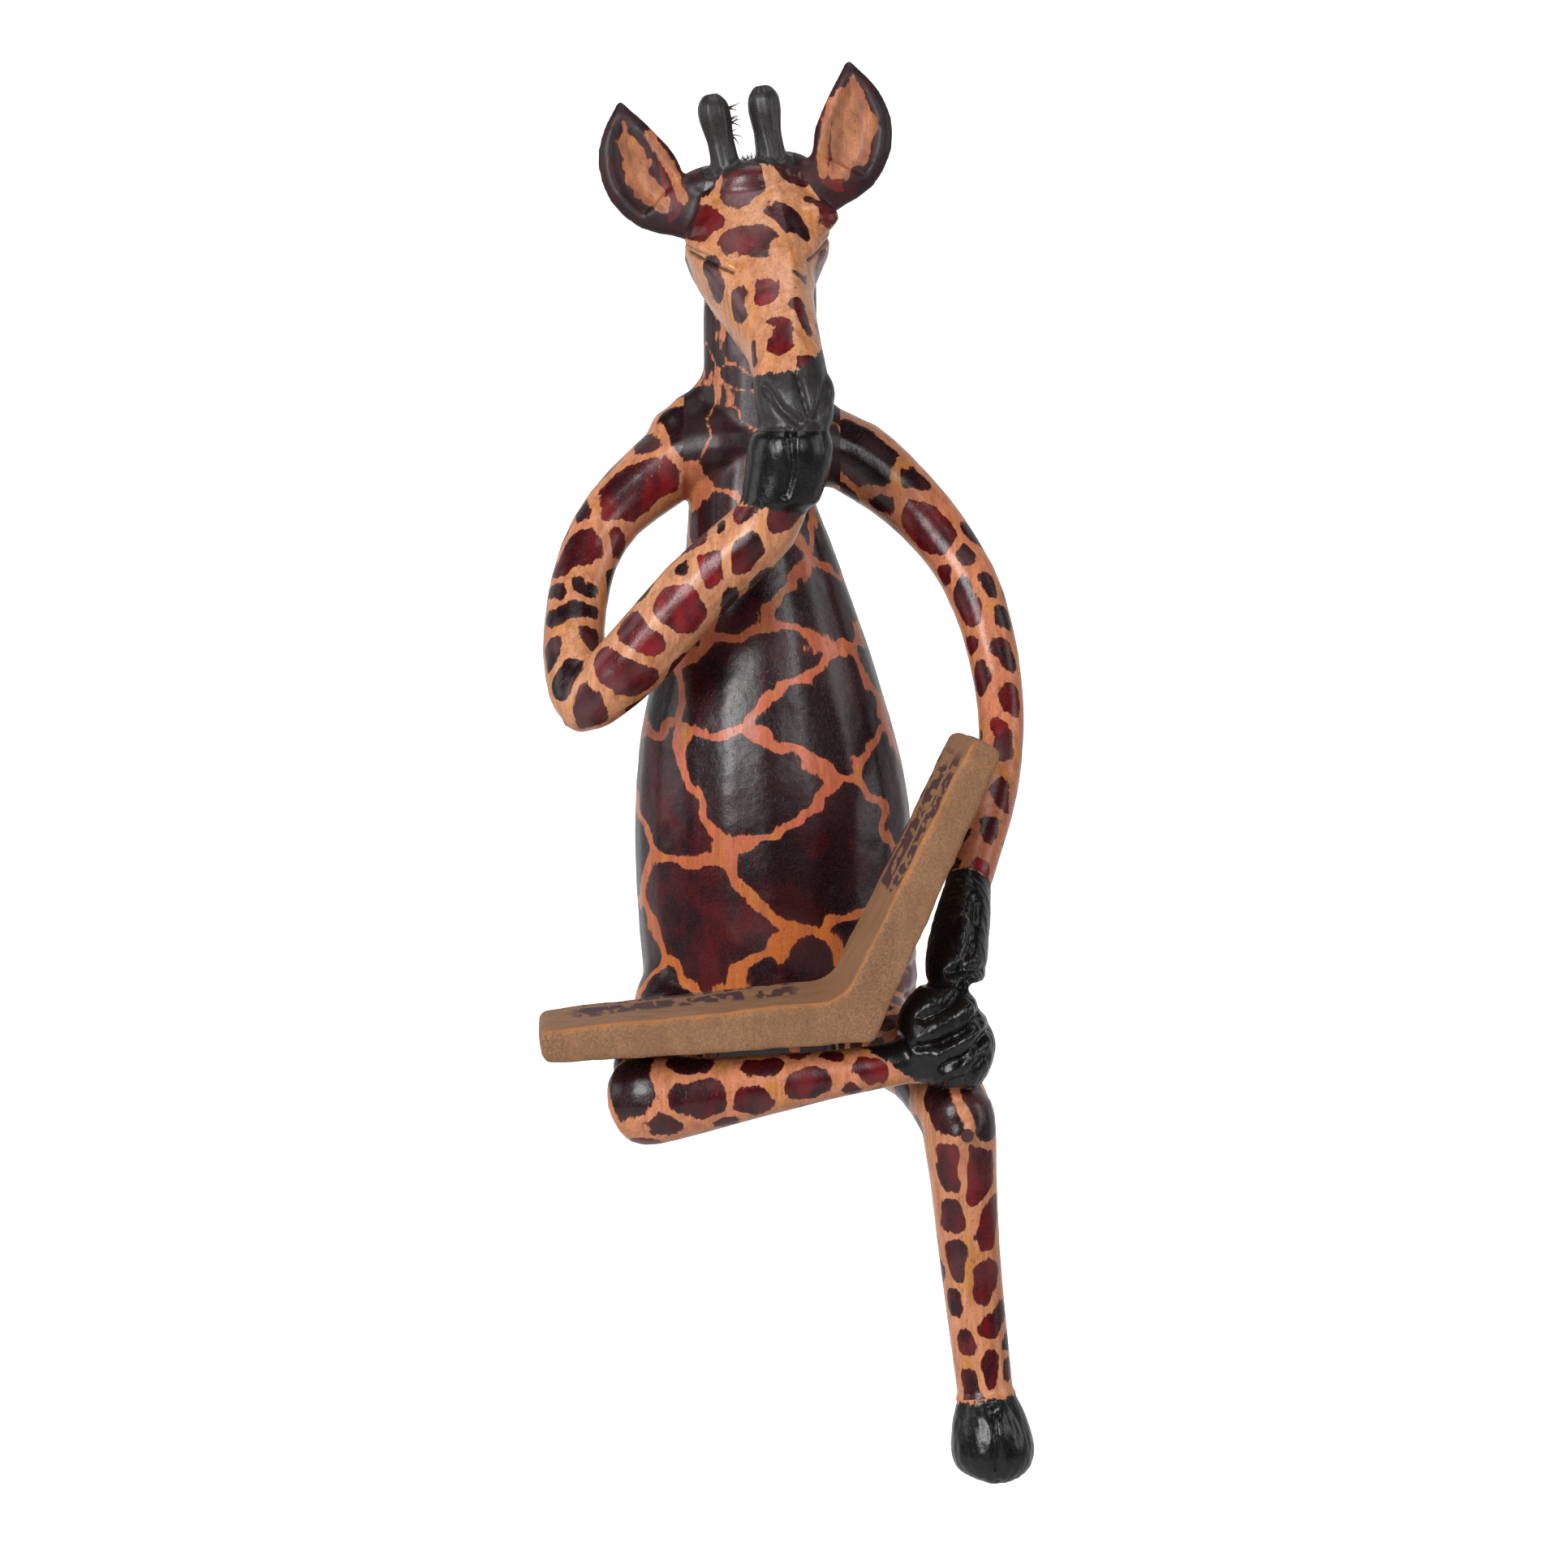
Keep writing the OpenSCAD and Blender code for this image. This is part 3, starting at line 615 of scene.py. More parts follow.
# ---- patches ----------------------------------------------------------
# Each patch, seen from the front in mm: x, z of its two ends, half width, redness 0 to 1.
BODY_PATCHES = [
    (-12, 117, -2, 130, 6.0, .2), (4, 137, 4, 135, 2.6, .2), (4, 113, 14, 119, 6.5, .1),
    (10, 131, 13, 126, 4.0, .1), (-15, 96, 1, 105, 8.5, .15), (-33, 99, -32, 89, 3.6, .05),
    (3, 90, 17, 93, 9.0, .05), (23, 102, 22, 97, 3.5, .1), (-14, 76, -5, 72, 10.5, .0),
    (-32, 77, -27, 63, 8.0, .25), (27, 75, 29, 66, 6.5, .1), (2, 53, 17, 56, 11.0, .15),
    (-27, 43, -12, 36, 10.5, .3), (-7, 27, 8, 30, 5.0, .2), (18, 36, 17, 33, 3.4, .2),
    (-35, 36, -34, 30, 4.0, .1), (-31, 23, -32, 21, 2.5, .1), (-25, 165, -23, 158, 5.5, .1),
    (-15, 162, -13, 151, 5.0, .2), (-12, 167, -6, 163, 3.2, .1), (-13, 173, -11, 172, 2.8, .1),
    (-11, 183, -9, 179, 3.4, .15), (-18, 141, -17, 137, 3.6, .2), (-20, 188, -14, 177, 1.4, .1),
    (-19, 181, -15, 171, 1.3, .1), (-17, 176, -14, 168, 1.2, .1), (-16, 190, -11, 188, 1.5, .1),
    (-3, 158, 0, 150, 4.5, .1), (6, 158, 7, 150, 4.0, .1),
]
FACE_PATCHES = [
    (-11, 223.5, -11, 219.5, 5.0, .30), (-12.6, 206.5, -5.6, 207, 4.1, .50),
    (0.4, 215, 2.6, 211, 4.6, .25), (8.3, 216.5, 9.6, 214, 3.6, .45),
    (0.2, 225.5, 3.0, 223.5, 3.4, .2), (-22.4, 211.5, -19.0, 211, 4.3, .6),
    (-18, 200, -16.2, 195, 2.9, .1), (-10.9, 193.6, -10.7, 188.8, 2.0, .15),
    (-4.6, 194.8, -4.5, 194.2, 3.4, 1.0), (-1, 185.4, -0.9, 182, 2.9, .75),
    (3.8, 202.4, 4.0, 198.6, 1.7, .05), (3.4, 191.5, 5.0, 186, 1.6, .35),
    (-7.4, 180.5, -7, 178, 0.9, .3), (6.5, 224, 10, 219, 2.2, .2), (-18, 221, -20, 219, 2.0, .2),
    (-13, 184, -12, 182, 1.2, .1),
]
BENT_PATCHES = [
    (-27, 163, -26, 158.5, 3.6, .1), (-35, 157.5, -33, 156.5, 3.0, .2),
    (-41, 143, -32, 149, 5.4, .7), (-50.5, 140.5, -49.5, 139.5, 2.4, .2),
    (-42, 133.5, -41, 131, 2.8, .5), (-54, 128, -47, 133, 4.0, .45),
    (-58, 122.5, -57.5, 121, 1.8, .1), (-50.5, 122, -48, 121, 2.4, .1),
    (-56, 116, -49, 117.5, 2.8, .05), (-48, 111, -47, 109.5, 1.9, .3),
    (-57.5, 107.5, -57, 105, 2.1, .1), (-54, 98.5, -50.5, 103, 2.4, .0),
    (-47.5, 97.5, -47, 91.5, 3.0, .3), (-42.5, 103.5, -35.5, 101.5, 4.0, .55),
    (-37, 113.5, -32, 110, 3.4, .75), (-26, 119.5, -24, 117.5, 4.4, .95),
    (-17.6, 128.8, -17.4, 128, 3.3, 1.), (-10.5, 129.5, -7.5, 133, 2.7, .5),
    (-16, 139.2, -15, 138.4, 1.6, .2), (-24.5, 128, -24, 127.5, 1.2, .2),
]
REST_PATCHES = [
    (16, 157, 24, 151, 6.0, .1), (31, 149.5, 32.5, 147.5, 2.9, .2),
    (24, 143.5, 26, 141.5, 3.0, .2), (31, 139.5, 38, 134, 4.2, .7),
    (45, 130.5, 45.5, 129.5, 1.9, .2), (40, 125.5, 40.5, 123.5, 1.9, .4),
    (45, 121, 46, 115, 2.8, .55), (50, 122.5, 51, 121, 2.1, .3), (54.3, 115, 54.7, 113, 1.9, .1),
    (46.3, 108.5, 46.5, 107.5, 1.7, .4), (54, 108, 55.5, 104, 2.2, .3),
    (48.5, 102, 49, 98.5, 1.8, .3), (55.8, 96, 56, 93.5, 2.2, .4),
    (52.6, 88.5, 53.5, 83.5, 2.0, .8), (47.5, 86.5, 47.4, 85.5, 1.3, .4),
    (53, 75, 53.5, 71, 1.6, .4), (49.8, 67, 49.9, 64.5, 1.7, .5), (47, 57, 47, 56, 1.8, .9),
]
CROSS_PATCHES = [
    (-36, 15, -34.5, 5, 4.8, .0), (-33, 2.5, -27, 2, 3.2, .3), (-25, 15.5, -19, 15, 2.0, .2),
    (-23, 7, -17, 8, 3.6, .4), (-8, 14.8, -2, 14.8, 1.6, .3), (-8, 7, -6.8, 6.8, 3.2, .55),
    (3, 10, 8, 10.6, 2.5, .5), (10.3, 16.8, 11, 16.6, 1.6, .3), (19, 13, 21, 13, 2.4, .6),
    (28, 17, 28.3, 16.4, 1.8, .7), (15.5, 8.8, 16.5, 9, 1.5, .5),
    (-12.5, 1.5, -14.5, 1.2, 1.2, .3),
]
HANG_PATCHES = [
    (36.5, 6, 38, -0.5, 3.2, .15), (45, 8, 48, -1, 3.9, .2), (41, 11, 44, 12, 3.0, .1),
    (38.3, -7.5, 39.5, -14.5, 2.6, .5), (46.5, -8, 45.8, -16.5, 2.9, .55),
    (39.5, -21, 39.5, -24.5, 1.9, .4), (49.3, -21, 47.7, -28.5, 2.4, .5),
    (40.3, -31, 41, -36, 1.8, .3), (48.5, -36.5, 48.5, -42, 2.6, .5),
    (40.2, -42.5, 40.4, -44, 1.7, .4), (50.8, -46, 48.8, -50, 1.9, .45),
    (43, -52.5, 43.1, -53.5, 1.8, .65), (48.6, -57.8, 48.6, -61, 1.7, .4),
    (43.6, -62.5, 45, -66.3, 1.9, .4), (53, -59.5, 53, -61, 1.3, .3),
    (49.7, -67.8, 49.8, -69.5, 1.9, .4),
]


# In mm: how far a depth is told, where rays start ahead of the figure, and the least
# length of a line.
DEEP = 6.0
AHEAD = -200
NUDGE = 1e-3


def bareness(co, spot):
    """Distance from a bare spot; one with no depth is seen from the front."""
    if spot[1] is None:
        return apart(co[:, [0, 2]], (spot[0], spot[2])) + np.clip(co[:, 1], 0, 20)
    return apart(co, spot)


def spread_patches(ob, plan, gap, line, room, seed, bare=(), bend=1.4):
    """Marks each point of a piece with its depth inside a patch, in mm, and its redness."""
    co = points(ob)
    tree = BVHTree.FromObject(ob, bpy.context.evaluated_depsgraph_get())
    lo, hi = co.min(0), co.max(0)

    def land(x, z):
        hit = tree.ray_cast(Vector((x, AHEAD, z)) * MM, Vector((0, 1, 0)))[0]
        if hit is None:
            hit = tree.find_nearest(Vector((x, 0.6 * lo[1] + 0.4 * hi[1], z)) * MM)[0]
        return np.array(hit) / MM

    rng = np.random.default_rng(seed)
    a = [land(p[0], p[1]) for p in plan]
    b = [land(p[2], p[3]) for p in plan]
    r = [p[4] for p in plan]
    red = [p[5] for p in plan]
    # the sides and the back, filled from where it is barest; sizes are shares of the gap
    some = co[:: max(1, len(co) // 5000)]
    d = np.full(len(some), 1e9)
    for q in range(len(a)):
        d = np.minimum(d, to_line(some, [a[q], b[q] + NUDGE]) - r[q])
    for spot, reach in bare:
        d[bareness(some, spot) < reach + gap * 0.3] = -1
    # the neck's patches are smaller than the belly's
    tight = np.where((some[:, 2] > 150) & (gap > 15), 1.7, 1.0)
    while (d * tight).max() > gap * 0.56:
        q = some[int(np.argmax(d * tight))]
        end = q + rng.normal(size=3) * gap * 0.16
        end = np.array(tree.find_nearest(Vector(end) * MM)[0]) / MM
        a.append(q)
        b.append(end)
        r.append(gap * rng.uniform(0.24, 0.36))
        red.append(float(rng.choice([0.0, 0.1, 0.3, 0.5])))
        d = np.minimum(d, to_line(some, [q, end + NUDGE]) - r[-1])
    bent = co + bend * np.stack([wobble(co, 11, seed + i) for i in range(3)], 1)
    one = np.full(len(co), 1e9)
    two = np.full(len(co), 1e9)
    which = np.zeros(len(co), int)
    for q in range(len(a)):
        d = to_line(bent, [a[q], b[q] + NUDGE]) - r[q]
        closer = d < one
        two = np.where(closer, one, np.minimum(two, d))
        which = np.where(closer, q, which)
        one = np.minimum(one, d)
    inside = (two - one) / 2 - line
    size = room - one
    field = 0.5 * (inside + size - np.sqrt((inside - size) ** 2 + 0.6))
    for spot, reach in bare:
        field = np.minimum(field, bareness(co, spot) - reach)
    write(ob, patch=np.clip(field, -DEEP, 10), tone=np.array(red)[which])
    return co


# The closed eye: a long slit and a short fold over it, in the head's own mm.
SLITS = [[(17.9, 17.6), (14.9, 15.0), (11.4, 12.2), (8.9, 10.6)],
         [(18.2, 19.6), (15.6, 17.2), (12.8, 15.2)]]
SLIT_WIDTH = 0.42
# Grooves and, with a negative depth, ridges: path in (x, z), width and depth in mm.
EYE_CUTS = [([(18.6, 20.4), (14.8, 17.4), (9.4, 12.6)], 2.0, -1.1),
            (SLITS[0], SLIT_WIDTH, 0.85), (SLITS[1], SLIT_WIDTH, 0.5),
            ([(17.0, 14.6), (13.0, 11.0)], 1.5, -0.6)]
FACE_CUTS = [([(5.5, 27), (6.0, 18), (5.6, 8), (3.6, -2), (2.2, -9)], 2.6, -1.0),
             ([(1.5, -15.5), (2.1, -23), (2.4, -27)], 0.9, 1.3),
             ([(-6.5, -17.5), (-3.5, -23.5), (0, -27.5)], 1.1, 1.2),
             ([(9.8, -16.0), (7.4, -22.5), (4.2, -27.5)], 1.1, 1.2),
             ([(-17.8, 10), (-12.5, 3), (-9.5, -8)], 2.4, 0.5)]
HAND_CUTS = [([(1.5, 161), (2.2, 152), (0.5, 146)], 1.0, 1.1)]
KNEE_CUTS = [([(45.5, 50), (44.5, 42), (41.5, 36)], 1.1, 1.2),
             ([(49, 29), (44, 24), (37, 20), (31, 19)], 1.0, 1.7),
             ([(48.5, 22), (43, 17), (37, 13.5)], 1.0, 1.7),
             ([(47, 16), (43, 11.5), (39, 9.5)], 0.9, 1.2),
             ([(43, 33), (37.5, 28), (32, 25.5)], 1.0, 1.5),
             ([(48.5, 25.5), (42, 20.5), (36, 17)], 1.2, -0.8),
             ([(46, 30), (40, 26), (34, 22.5)], 1.2, -0.7),
             ([(39, 35.2), (44, 35.8), (49, 34.6)], 0.9, 1.2)]
FOOT_CUTS = [([(49.5, -69), (50.5, -77), (50.5, -86)], 1.1, 1.2)]


def eye_side(path, side):
    """A path on the eye of one side; the eye on the +X side lies 1 mm further out."""
    return [(side * x + (side > 0), z) for x, z in path]


# Where the black paint of each hoof begins: a point, the way to the hoof, reach.
PAINT = {
    "chin": ((-2, -44, 142.2), (0.18, 0, 1), 18), "palm": ((44.5, -54, 52.5), PALM, 16),
    "crossed": ((24.0, -84, 14.8), (0.55, 0.05, 0.83), 22),
    "hanging": ((48, -78, -67.6), (0.16, -0.12, -1), 16),
}


def hoof_paint(co, hoof):
    """Depth inside the black paint of a hoof, in mm."""
    at, way, reach = PAINT[hoof]
    depth = np.where(apart(co, at) < reach, away(co, at, way), -DEEP)
    return np.clip(depth, -DEEP, DEEP)


def finish(ob, mat, angle, plain):
    """Gives a piece its finish and puts it in the place of a CAD node."""
    ob.data.materials.clear()
    ob.data.materials.append(mat)
    only(ob)
    bpy.ops.object.shade_smooth_by_angle(angle=math.radians(angle))
    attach(ob, "root")
    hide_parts(plain)


def finish_hide(ob, plain):
    finish(ob, hide_finish(), 50, plain)


def piece(name):
    ob = bpy.data.objects.get(name)
    if ob is None:
        raise RuntimeError(f"carve the blank first: there is no {name}")
    return ob


def joined(obs, name):
    only(*obs)
    bpy.ops.object.join()
    obs[0].name = name
    return obs[0]


# ---- the blank, carved whole and cut at its glue joints -----------------
class GIRAFFE_OT_blank(bpy.types.Operator):
    """Joins all the carved wood into one blank, smooths it and cuts it into its pieces"""
    bl_idname = "giraffe.blank"
    bl_label = "Carved blank"

    def execute(self, context):
        parts = [copy_of(n, "rough " + n) for n in CARVED]
        tilt = HEAD.to_3x3().to_4x4()
        parts += [lump(HEAD @ Vector(at), half, tilt) for at, half in HEAD_WOOD]
        parts += [lump(Vector(at), half) for at, half in BODY_WOOD]
        blank = joined(parts, "blank")
        apply(blank, "REMESH", mode="VOXEL", voxel_size=sizes().grid, adaptivity=0.0)
        apply(blank, "SMOOTH", factor=0.5, iterations=5)
        self.fair(blank)
        self.shape(blank)
        for _, _, at, way, reach in JOINTS:
            self.cut(blank, at, way, reach + 3)
        self.cut(blank, STEP_AT, Vector((0, 0, 1)), STEP_REACH)
        self.cut(blank, Vector((STEP_AT.x, STEP_Y, STEP_Z + 2)), Vector((0, -1, 0)), STEP_REACH)
        self.part(blank)
        return {"FINISHED"}

    def fair(self, ob):
        """Sands the belly and the slope of the shoulder until no flat is left."""
        co = points(ob)
        x, y, z = co.T
        belly = np.clip(1.25 - ((x + 1) / 39) ** 2 - (y / 36) ** 2, 0, 0.25) * 4
        belly *= unit((z - 3) / 6) * unit((132 - z) / 10)
        belly = np.where((z < 26) & (y < -24), 0, belly)
        slope = np.linalg.norm((co - (-24, 2, 165)) * (1, 0.8, 1), axis=1)
        weight = np.maximum(belly, unit((15 - slope) / 5))
        hand = apart(co, (1, -47, 151))
        weight = np.maximum(weight, 0.4 * unit((15 - hand) / 4) * (y < -30))
        made = ob.vertex_groups.new(name="sanded")
        for step in range(1, 11):
            ids = np.flatnonzero((weight > (step - 1) / 10) & (weight <= step / 10))
            made.add(ids.tolist(), step / 10, "REPLACE")
        apply(ob, "SMOOTH", factor=0.5, iterations=70, vertex_group="sanded")

    def shape(self, ob):
        """Hand carving over the joints: grooves, ridges and hollows."""
        co = points(ob)
        no = normals(ob)
        flat = in_head(co)
        face = unit(-no[:, 1] * 2) * (co[:, 2] > 161.5) * (co[:, 1] < 2)
        face = face * (np.abs(flat[:, 0]) < 26) * (flat[:, 2] < 33)
        co = gouge(co, no, FACE_CUTS, face, flat)
        hoof = unit(-no[:, 1] * 1.5 + 0.2)
        hand = hoof * (co[:, 2] > 143) * (co[:, 2] < 162) * (co[:, 1] < -30)
        co = gouge(co, no, HAND_CUTS, hand)
        knee = hoof * (co[:, 2] > 7) * (co[:, 2] < 52) * (co[:, 0] > 28)
        co = gouge(co, no, KNEE_CUTS, knee)
        co = gouge(co, no, FOOT_CUTS, hoof * (co[:, 2] < -68))
        # a raised rim at the ankle and small dents, but none in the flat seat
        rim = np.exp(-((away(co, (48, -78, -67), ANKLE_L) / 0.8) ** 2)) * (co[:, 2] < -60)
        co = co + no * (0.45 * rim)[:, None]
        dent = (0.10 * wobble(co, 22, 5) + 0.02 * wobble(co, 7, 6)) * (co[:, 2] > 0.6)
        put_points(ob, co + no * dent[:, None])

    def cut(self, ob, at, way, reach):
        pick_faces(ob, apart(centres(ob), at) < reach)
        bpy.ops.mesh.bisect(plane_co=at * MM, plane_no=way, use_fill=False,
                            clear_inner=False, clear_outer=False, threshold=0.00002)
        done()

    def part(self, ob):
        mid = centres(ob)
        verts, faces, owner = [], [], []
        for k, name in enumerate(CARVED):
            mesh = frame["nodes"][name].data
            base = len(verts)
            verts += [v.co.copy() for v in mesh.vertices]
            for p in mesh.polygons:
                faces.append([base + i for i in p.vertices])
                owner.append(k)
        tree = BVHTree.FromPolygons(verts, faces)
        label = np.array([owner[tree.find_nearest(Vector(c * MM))[2]] for c in mid])
        for near, far, at, way, reach in JOINTS:
            a, b = CARVED.index(near), CARVED.index(far)
            here = (apart(mid, at) < reach) & ((label == a) | (label == b))
            label[here] = np.where(away(mid[here], at, way) > 0, b, a)
        a, b = CARVED.index("hanging_leg"), CARVED.index("crossed_hoof")
        here = (apart(mid, STEP_AT) < STEP_REACH) & ((label == a) | (label == b))
        over = (mid[:, 2] > STEP_Z) & (mid[:, 1] < STEP_Y)
        label[here] = np.where(over[here], b, a)
        for k, name in enumerate(CARVED[1:], 1):
            if not (label == k).any():
                raise RuntimeError(f"nothing of the blank is left for {name}")
            pick_faces(ob, label == k)
            bpy.ops.mesh.separate(type="SELECTED")
            done()
            new = next(o for o in bpy.context.selected_objects if o is not ob)
            new.name = "carved_" + name
            label = label[label != k]
        ob.name = "carved_torso"
        for name in CARVED:
            self.close(bpy.data.objects["carved_" + name])

    def close(self, ob):
        """Drops crumbs and closes the cut faces."""
        edit(ob, "DESELECT")
        bpy.ops.mesh.select_mode(type="VERT")
        done()
        n = len(ob.data.vertices)
        edges = np.empty(len(ob.data.edges) * 2, np.int32)
        ob.data.edges.foreach_get("vertices", edges)
        edges = edges.reshape(-1, 2)
        mark = np.arange(n)
        while True:
            low = np.minimum(mark[edges[:, 0]], mark[edges[:, 1]])
            new = mark.copy()
            np.minimum.at(new, edges[:, 0], low)
            np.minimum.at(new, edges[:, 1], low)
            new = new[new]
            if (new == mark).all():
                break
            mark = new
        ids, count = np.unique(mark, return_counts=True)
        crumbs = mark != ids[np.argmax(count)]
        if crumbs.any():
            ob.data.vertices.foreach_set("select", crumbs)
            bpy.ops.object.mode_set(mode="EDIT")
            bpy.ops.mesh.delete(type="VERT")
            done()
        edit(ob)
        bpy.ops.mesh.fill_holes(sides=0)
        bpy.ops.mesh.select_all(action="SELECT")
        bpy.ops.mesh.normals_make_consistent(inside=False)
        done()


class GIRAFFE_OT_body(bpy.types.Operator):
    """Stains the body and neck"""
    bl_idname = "giraffe.body"
    bl_label = "Body and neck"

    def execute(self, context):
        ob = piece("carved_torso")
        z = points(ob)[:, 2]
        neck = unit((z - 128) / 30)
        line = sizes().body_line / MM * (1 - neck) + 0.28 * neck
        co = spread_patches(ob, BODY_PATCHES, 19, line, 9, 11,
                            bare=(((-21, None, 146), 3.5), ((-23.5, None, 149.5), 3.4),
                                  ((-24, None, 144), 4.2)), bend=1.9)
        write(ob, pale=0.12 + 0.35 * neck, gold=np.clip((62 - z) / 30, 0, 0.85),
              worn=0.12 * unit(wobble(co, 30, 3)), dull=0.7 * neck, black=-DEEP)
        finish_hide(ob, "torso")
        return {"FINISHED"}


class GIRAFFE_OT_head(bpy.types.Operator):
    """Carves the eyes and brows of the head and stains it"""
    bl_idname = "giraffe.head"
    bl_label = "Head"

    def execute(self, context):
        ob = piece("carved_head")
        co, no = refine(ob, 0.4, 2)
        flat = in_head(co)
        front = unit((-no[:, 1] + 0.35) * 1.6) * (flat[:, 1] < 6)
        for side, where in ((-1, front * (flat[:, 0] < -1)), (1, front * (flat[:, 0] > 3))):
            cuts = [(eye_side(path, side), wide, deep) for path, wide, deep in EYE_CUTS]
            co = gouge(co, no, cuts, where, flat)
        put_points(ob, co)
        spread_patches(ob, FACE_PATCHES, 11, 1.0, 0.8, 23, bend=0.7,
                       bare=(((2, -22, 203), 6.0), ((-12, -22, 200), 4.0),
                             ((-5, -40, 186), 3.0)))
        # where the black of the muzzle and of the poll begins
        x, y, z = flat.T
        muzzle = -14.6 + np.clip((x - 3) * 0.55, 0, 4.2) - z
        muzzle = np.where(y < -14, muzzle, -DEEP)
        poll = z - 36.6 + 0.25 * np.abs(x) * (y < -2) + 0.6 * wobble(flat, 5, 4)
        poll = np.maximum(poll, z - 34.6 + np.clip(y, -8, 6) * 0.35)
        slit = np.full(len(co), 9.0)
        for side in (-1, 1):
            for path, thin in zip(SLITS, (0, 0.22)):
                d = to_line(flat[:, [0, 2]], eye_side(path, side)) + thin
                slit = np.minimum(slit, np.where(y < 4, d, 9))
        # random wear, then a painted sheen as lighter spots on the face patches: centre x, z and
        # reach in mm, and how much
        worn = 0.12 * (y < 0) * unit(wobble(flat, 7, 12))
        for a, b, r, much in ((-10.5, 218, 4.5, .55), (-13.5, 207, 3.4, .5), (-17, 197, 5, .35),
                              (-11, 191, 4, .3), (4, 200, 4, .3)):
            worn = worn + much * np.exp(-(((co[:, 0] - a) ** 2 + (co[:, 2] - b) ** 2) / r ** 2))
        write(ob, slit=unit(1.3 - slit / SLIT_WIDTH), pale=0.95 - 0.25 * unit(y / 12),
              gold=0.25 * unit(wobble(flat, 16, 9) + 0.2), worn=np.clip(worn, 0, 0.8), dust=1,
              black=np.clip(np.maximum(muzzle, poll), -DEEP, DEEP))
        finish_hide(ob, "head")
        return {"FINISHED"}


class GIRAFFE_OT_ears(bpy.types.Operator):
    """Stains the ears dark round a bare cup"""
    bl_idname = "giraffe.ears"
    bl_label = "Ears"

    def execute(self, context):
        for name, side in (("ear_left", 1), ("ear_right", -1)):
            ob = piece("carved_" + name)
            co, no = refine(ob, 0.5, 8)
            flat = in_head(co)
            flat[:, 0] *= side
            facing = (no @ np.array(UNHEAD)[:3, :3].T)[:, 1]
            # the cup, from near the root to near the tip: x, z and half width
            path = np.array([(22, 31, 2.8), (25.6, 36, 5.4), (27.4, 42, 5.8), (28.2, 48, 3.8),
                             (28.6, 53, 1.2)])
            if side < 0:
                path = path * (1, 1, 0.62) + (0.4, -1.0, 0)
            best = np.full(len(co), -9.0)
            for (ax, az, ar), (bx, bz, br) in zip(path[:-1], path[1:]):
                ab = np.array((bx - ax, bz - az))
                t = np.clip((flat[:, [0, 2]] - (ax, az)) @ ab / (ab @ ab), 0, 1)
                near = np.hypot(flat[:, 0] - ax - t * ab[0], flat[:, 2] - az - t * ab[1])
                best = np.maximum(best, ar + (br - ar) * t - near)
            cup = np.where(facing < 0.35, best, -9.0)
            inside = np.clip(cup, 0, 3) * (flat[:, 1] < 1.5)
            co = co + np.outer(0.34 * inside, HEAD.to_3x3() @ Vector((0, 1, 0)))
            put_points(ob, co)
            stripe = to_line(flat[:, [0, 2]], [(17.5, 31), (19, 38), (23, 48)]) - 1.3
            blotch = 1.6 * wobble(flat, 6.5, 31 if side > 0 else 37)
            dark = np.minimum(-cup + 0.2 + 0.5 * blotch, np.where(flat[:, 1] < 2, stripe, 4))
            back = 1.2 + 2.2 * wobble(flat, 9, 33)
            dark = np.where(facing > 0.35, np.minimum(dark, back), dark)
            root = away(co, on_head(side * 14.5, -2, 27.5), EAR_L if side > 0 else EAR_R)
            top = flat[:, 2] - 34.6 - 0.9 * np.clip(root, 0, 5)
            black = np.where(root < 5, top + blotch * 0.4, -DEEP)
            write(ob, patch=np.clip(dark, -DEEP, DEEP), black=np.clip(black, -DEEP, DEEP),
                  tone=0.18 + 0.5 * (flat[:, 0] < 22) * (cup > -2.5), dull=1, worn=0,
                  shade=np.clip(0.45 + 0.3 * wobble(flat, 5, 35), 0, 0.9),
                  pale=0.5 + 0.25 * (cup > 1), gold=0.12)
            finish_hide(ob, name)
        return {"FINISHED"}


class GIRAFFE_OT_horns(bpy.types.Operator):
    """Paints the two horns black with brushed streaks"""
    bl_idname = "giraffe.horns"
    bl_label = "Horns"

    def execute(self, context):
        for name, side in (("horn_left", 1), ("horn_right", -1)):
            ob = piece("carved_" + name)
            co, no = refine(ob, 0.4, 2)
            flat = in_head(co)
            turn = np.arctan2(flat[:, 1] + 4, flat[:, 0] - side * 6.1)
            groove = 0.10 * np.sin(turn * 9 + 2 * wobble(flat, 12, 41))
            put_points(ob, co + no * (groove * (flat[:, 2] > 36.5))[:, None])
            write(ob, patch=-DEEP, tone=0, worn=0, black=DEEP, dust=1, pale=0.5, gold=0)
            finish_hide(ob, name)
        return {"FINISHED"}


def stain_limb(name, plan, gap, line, seed, bend, pale, worn, hoof):
    """Stains one arm or leg up to the black paint of its hoof."""
    ob = piece("carved_" + name)
    co = spread_patches(ob, plan, gap, line, 1.2, seed, bend=bend)
    if name == "bent_arm":
        pale = pale + 0.2 * (co[:, 1] < -30)
    write(ob, pale=pale, gold=0, worn=worn * unit(wobble(co, 14, seed)),
          black=hoof_paint(co, hoof))
    finish_hide(ob, name)


class GIRAFFE_OT_arms(bpy.types.Operator):
    """Stains the bent arm and the resting arm"""
    bl_idname = "giraffe.arms"
    bl_label = "Arms"

    def execute(self, context):
        line = sizes().limb_line / MM
        stain_limb("bent_arm", BENT_PATCHES, 9.5, line, 51, 0.9, 0.72, 0.25, "chin")
        stain_limb("resting_arm", REST_PATCHES, 9.5, line, 61, 0.9, 0.5, 0.25, "palm")
        return {"FINISHED"}


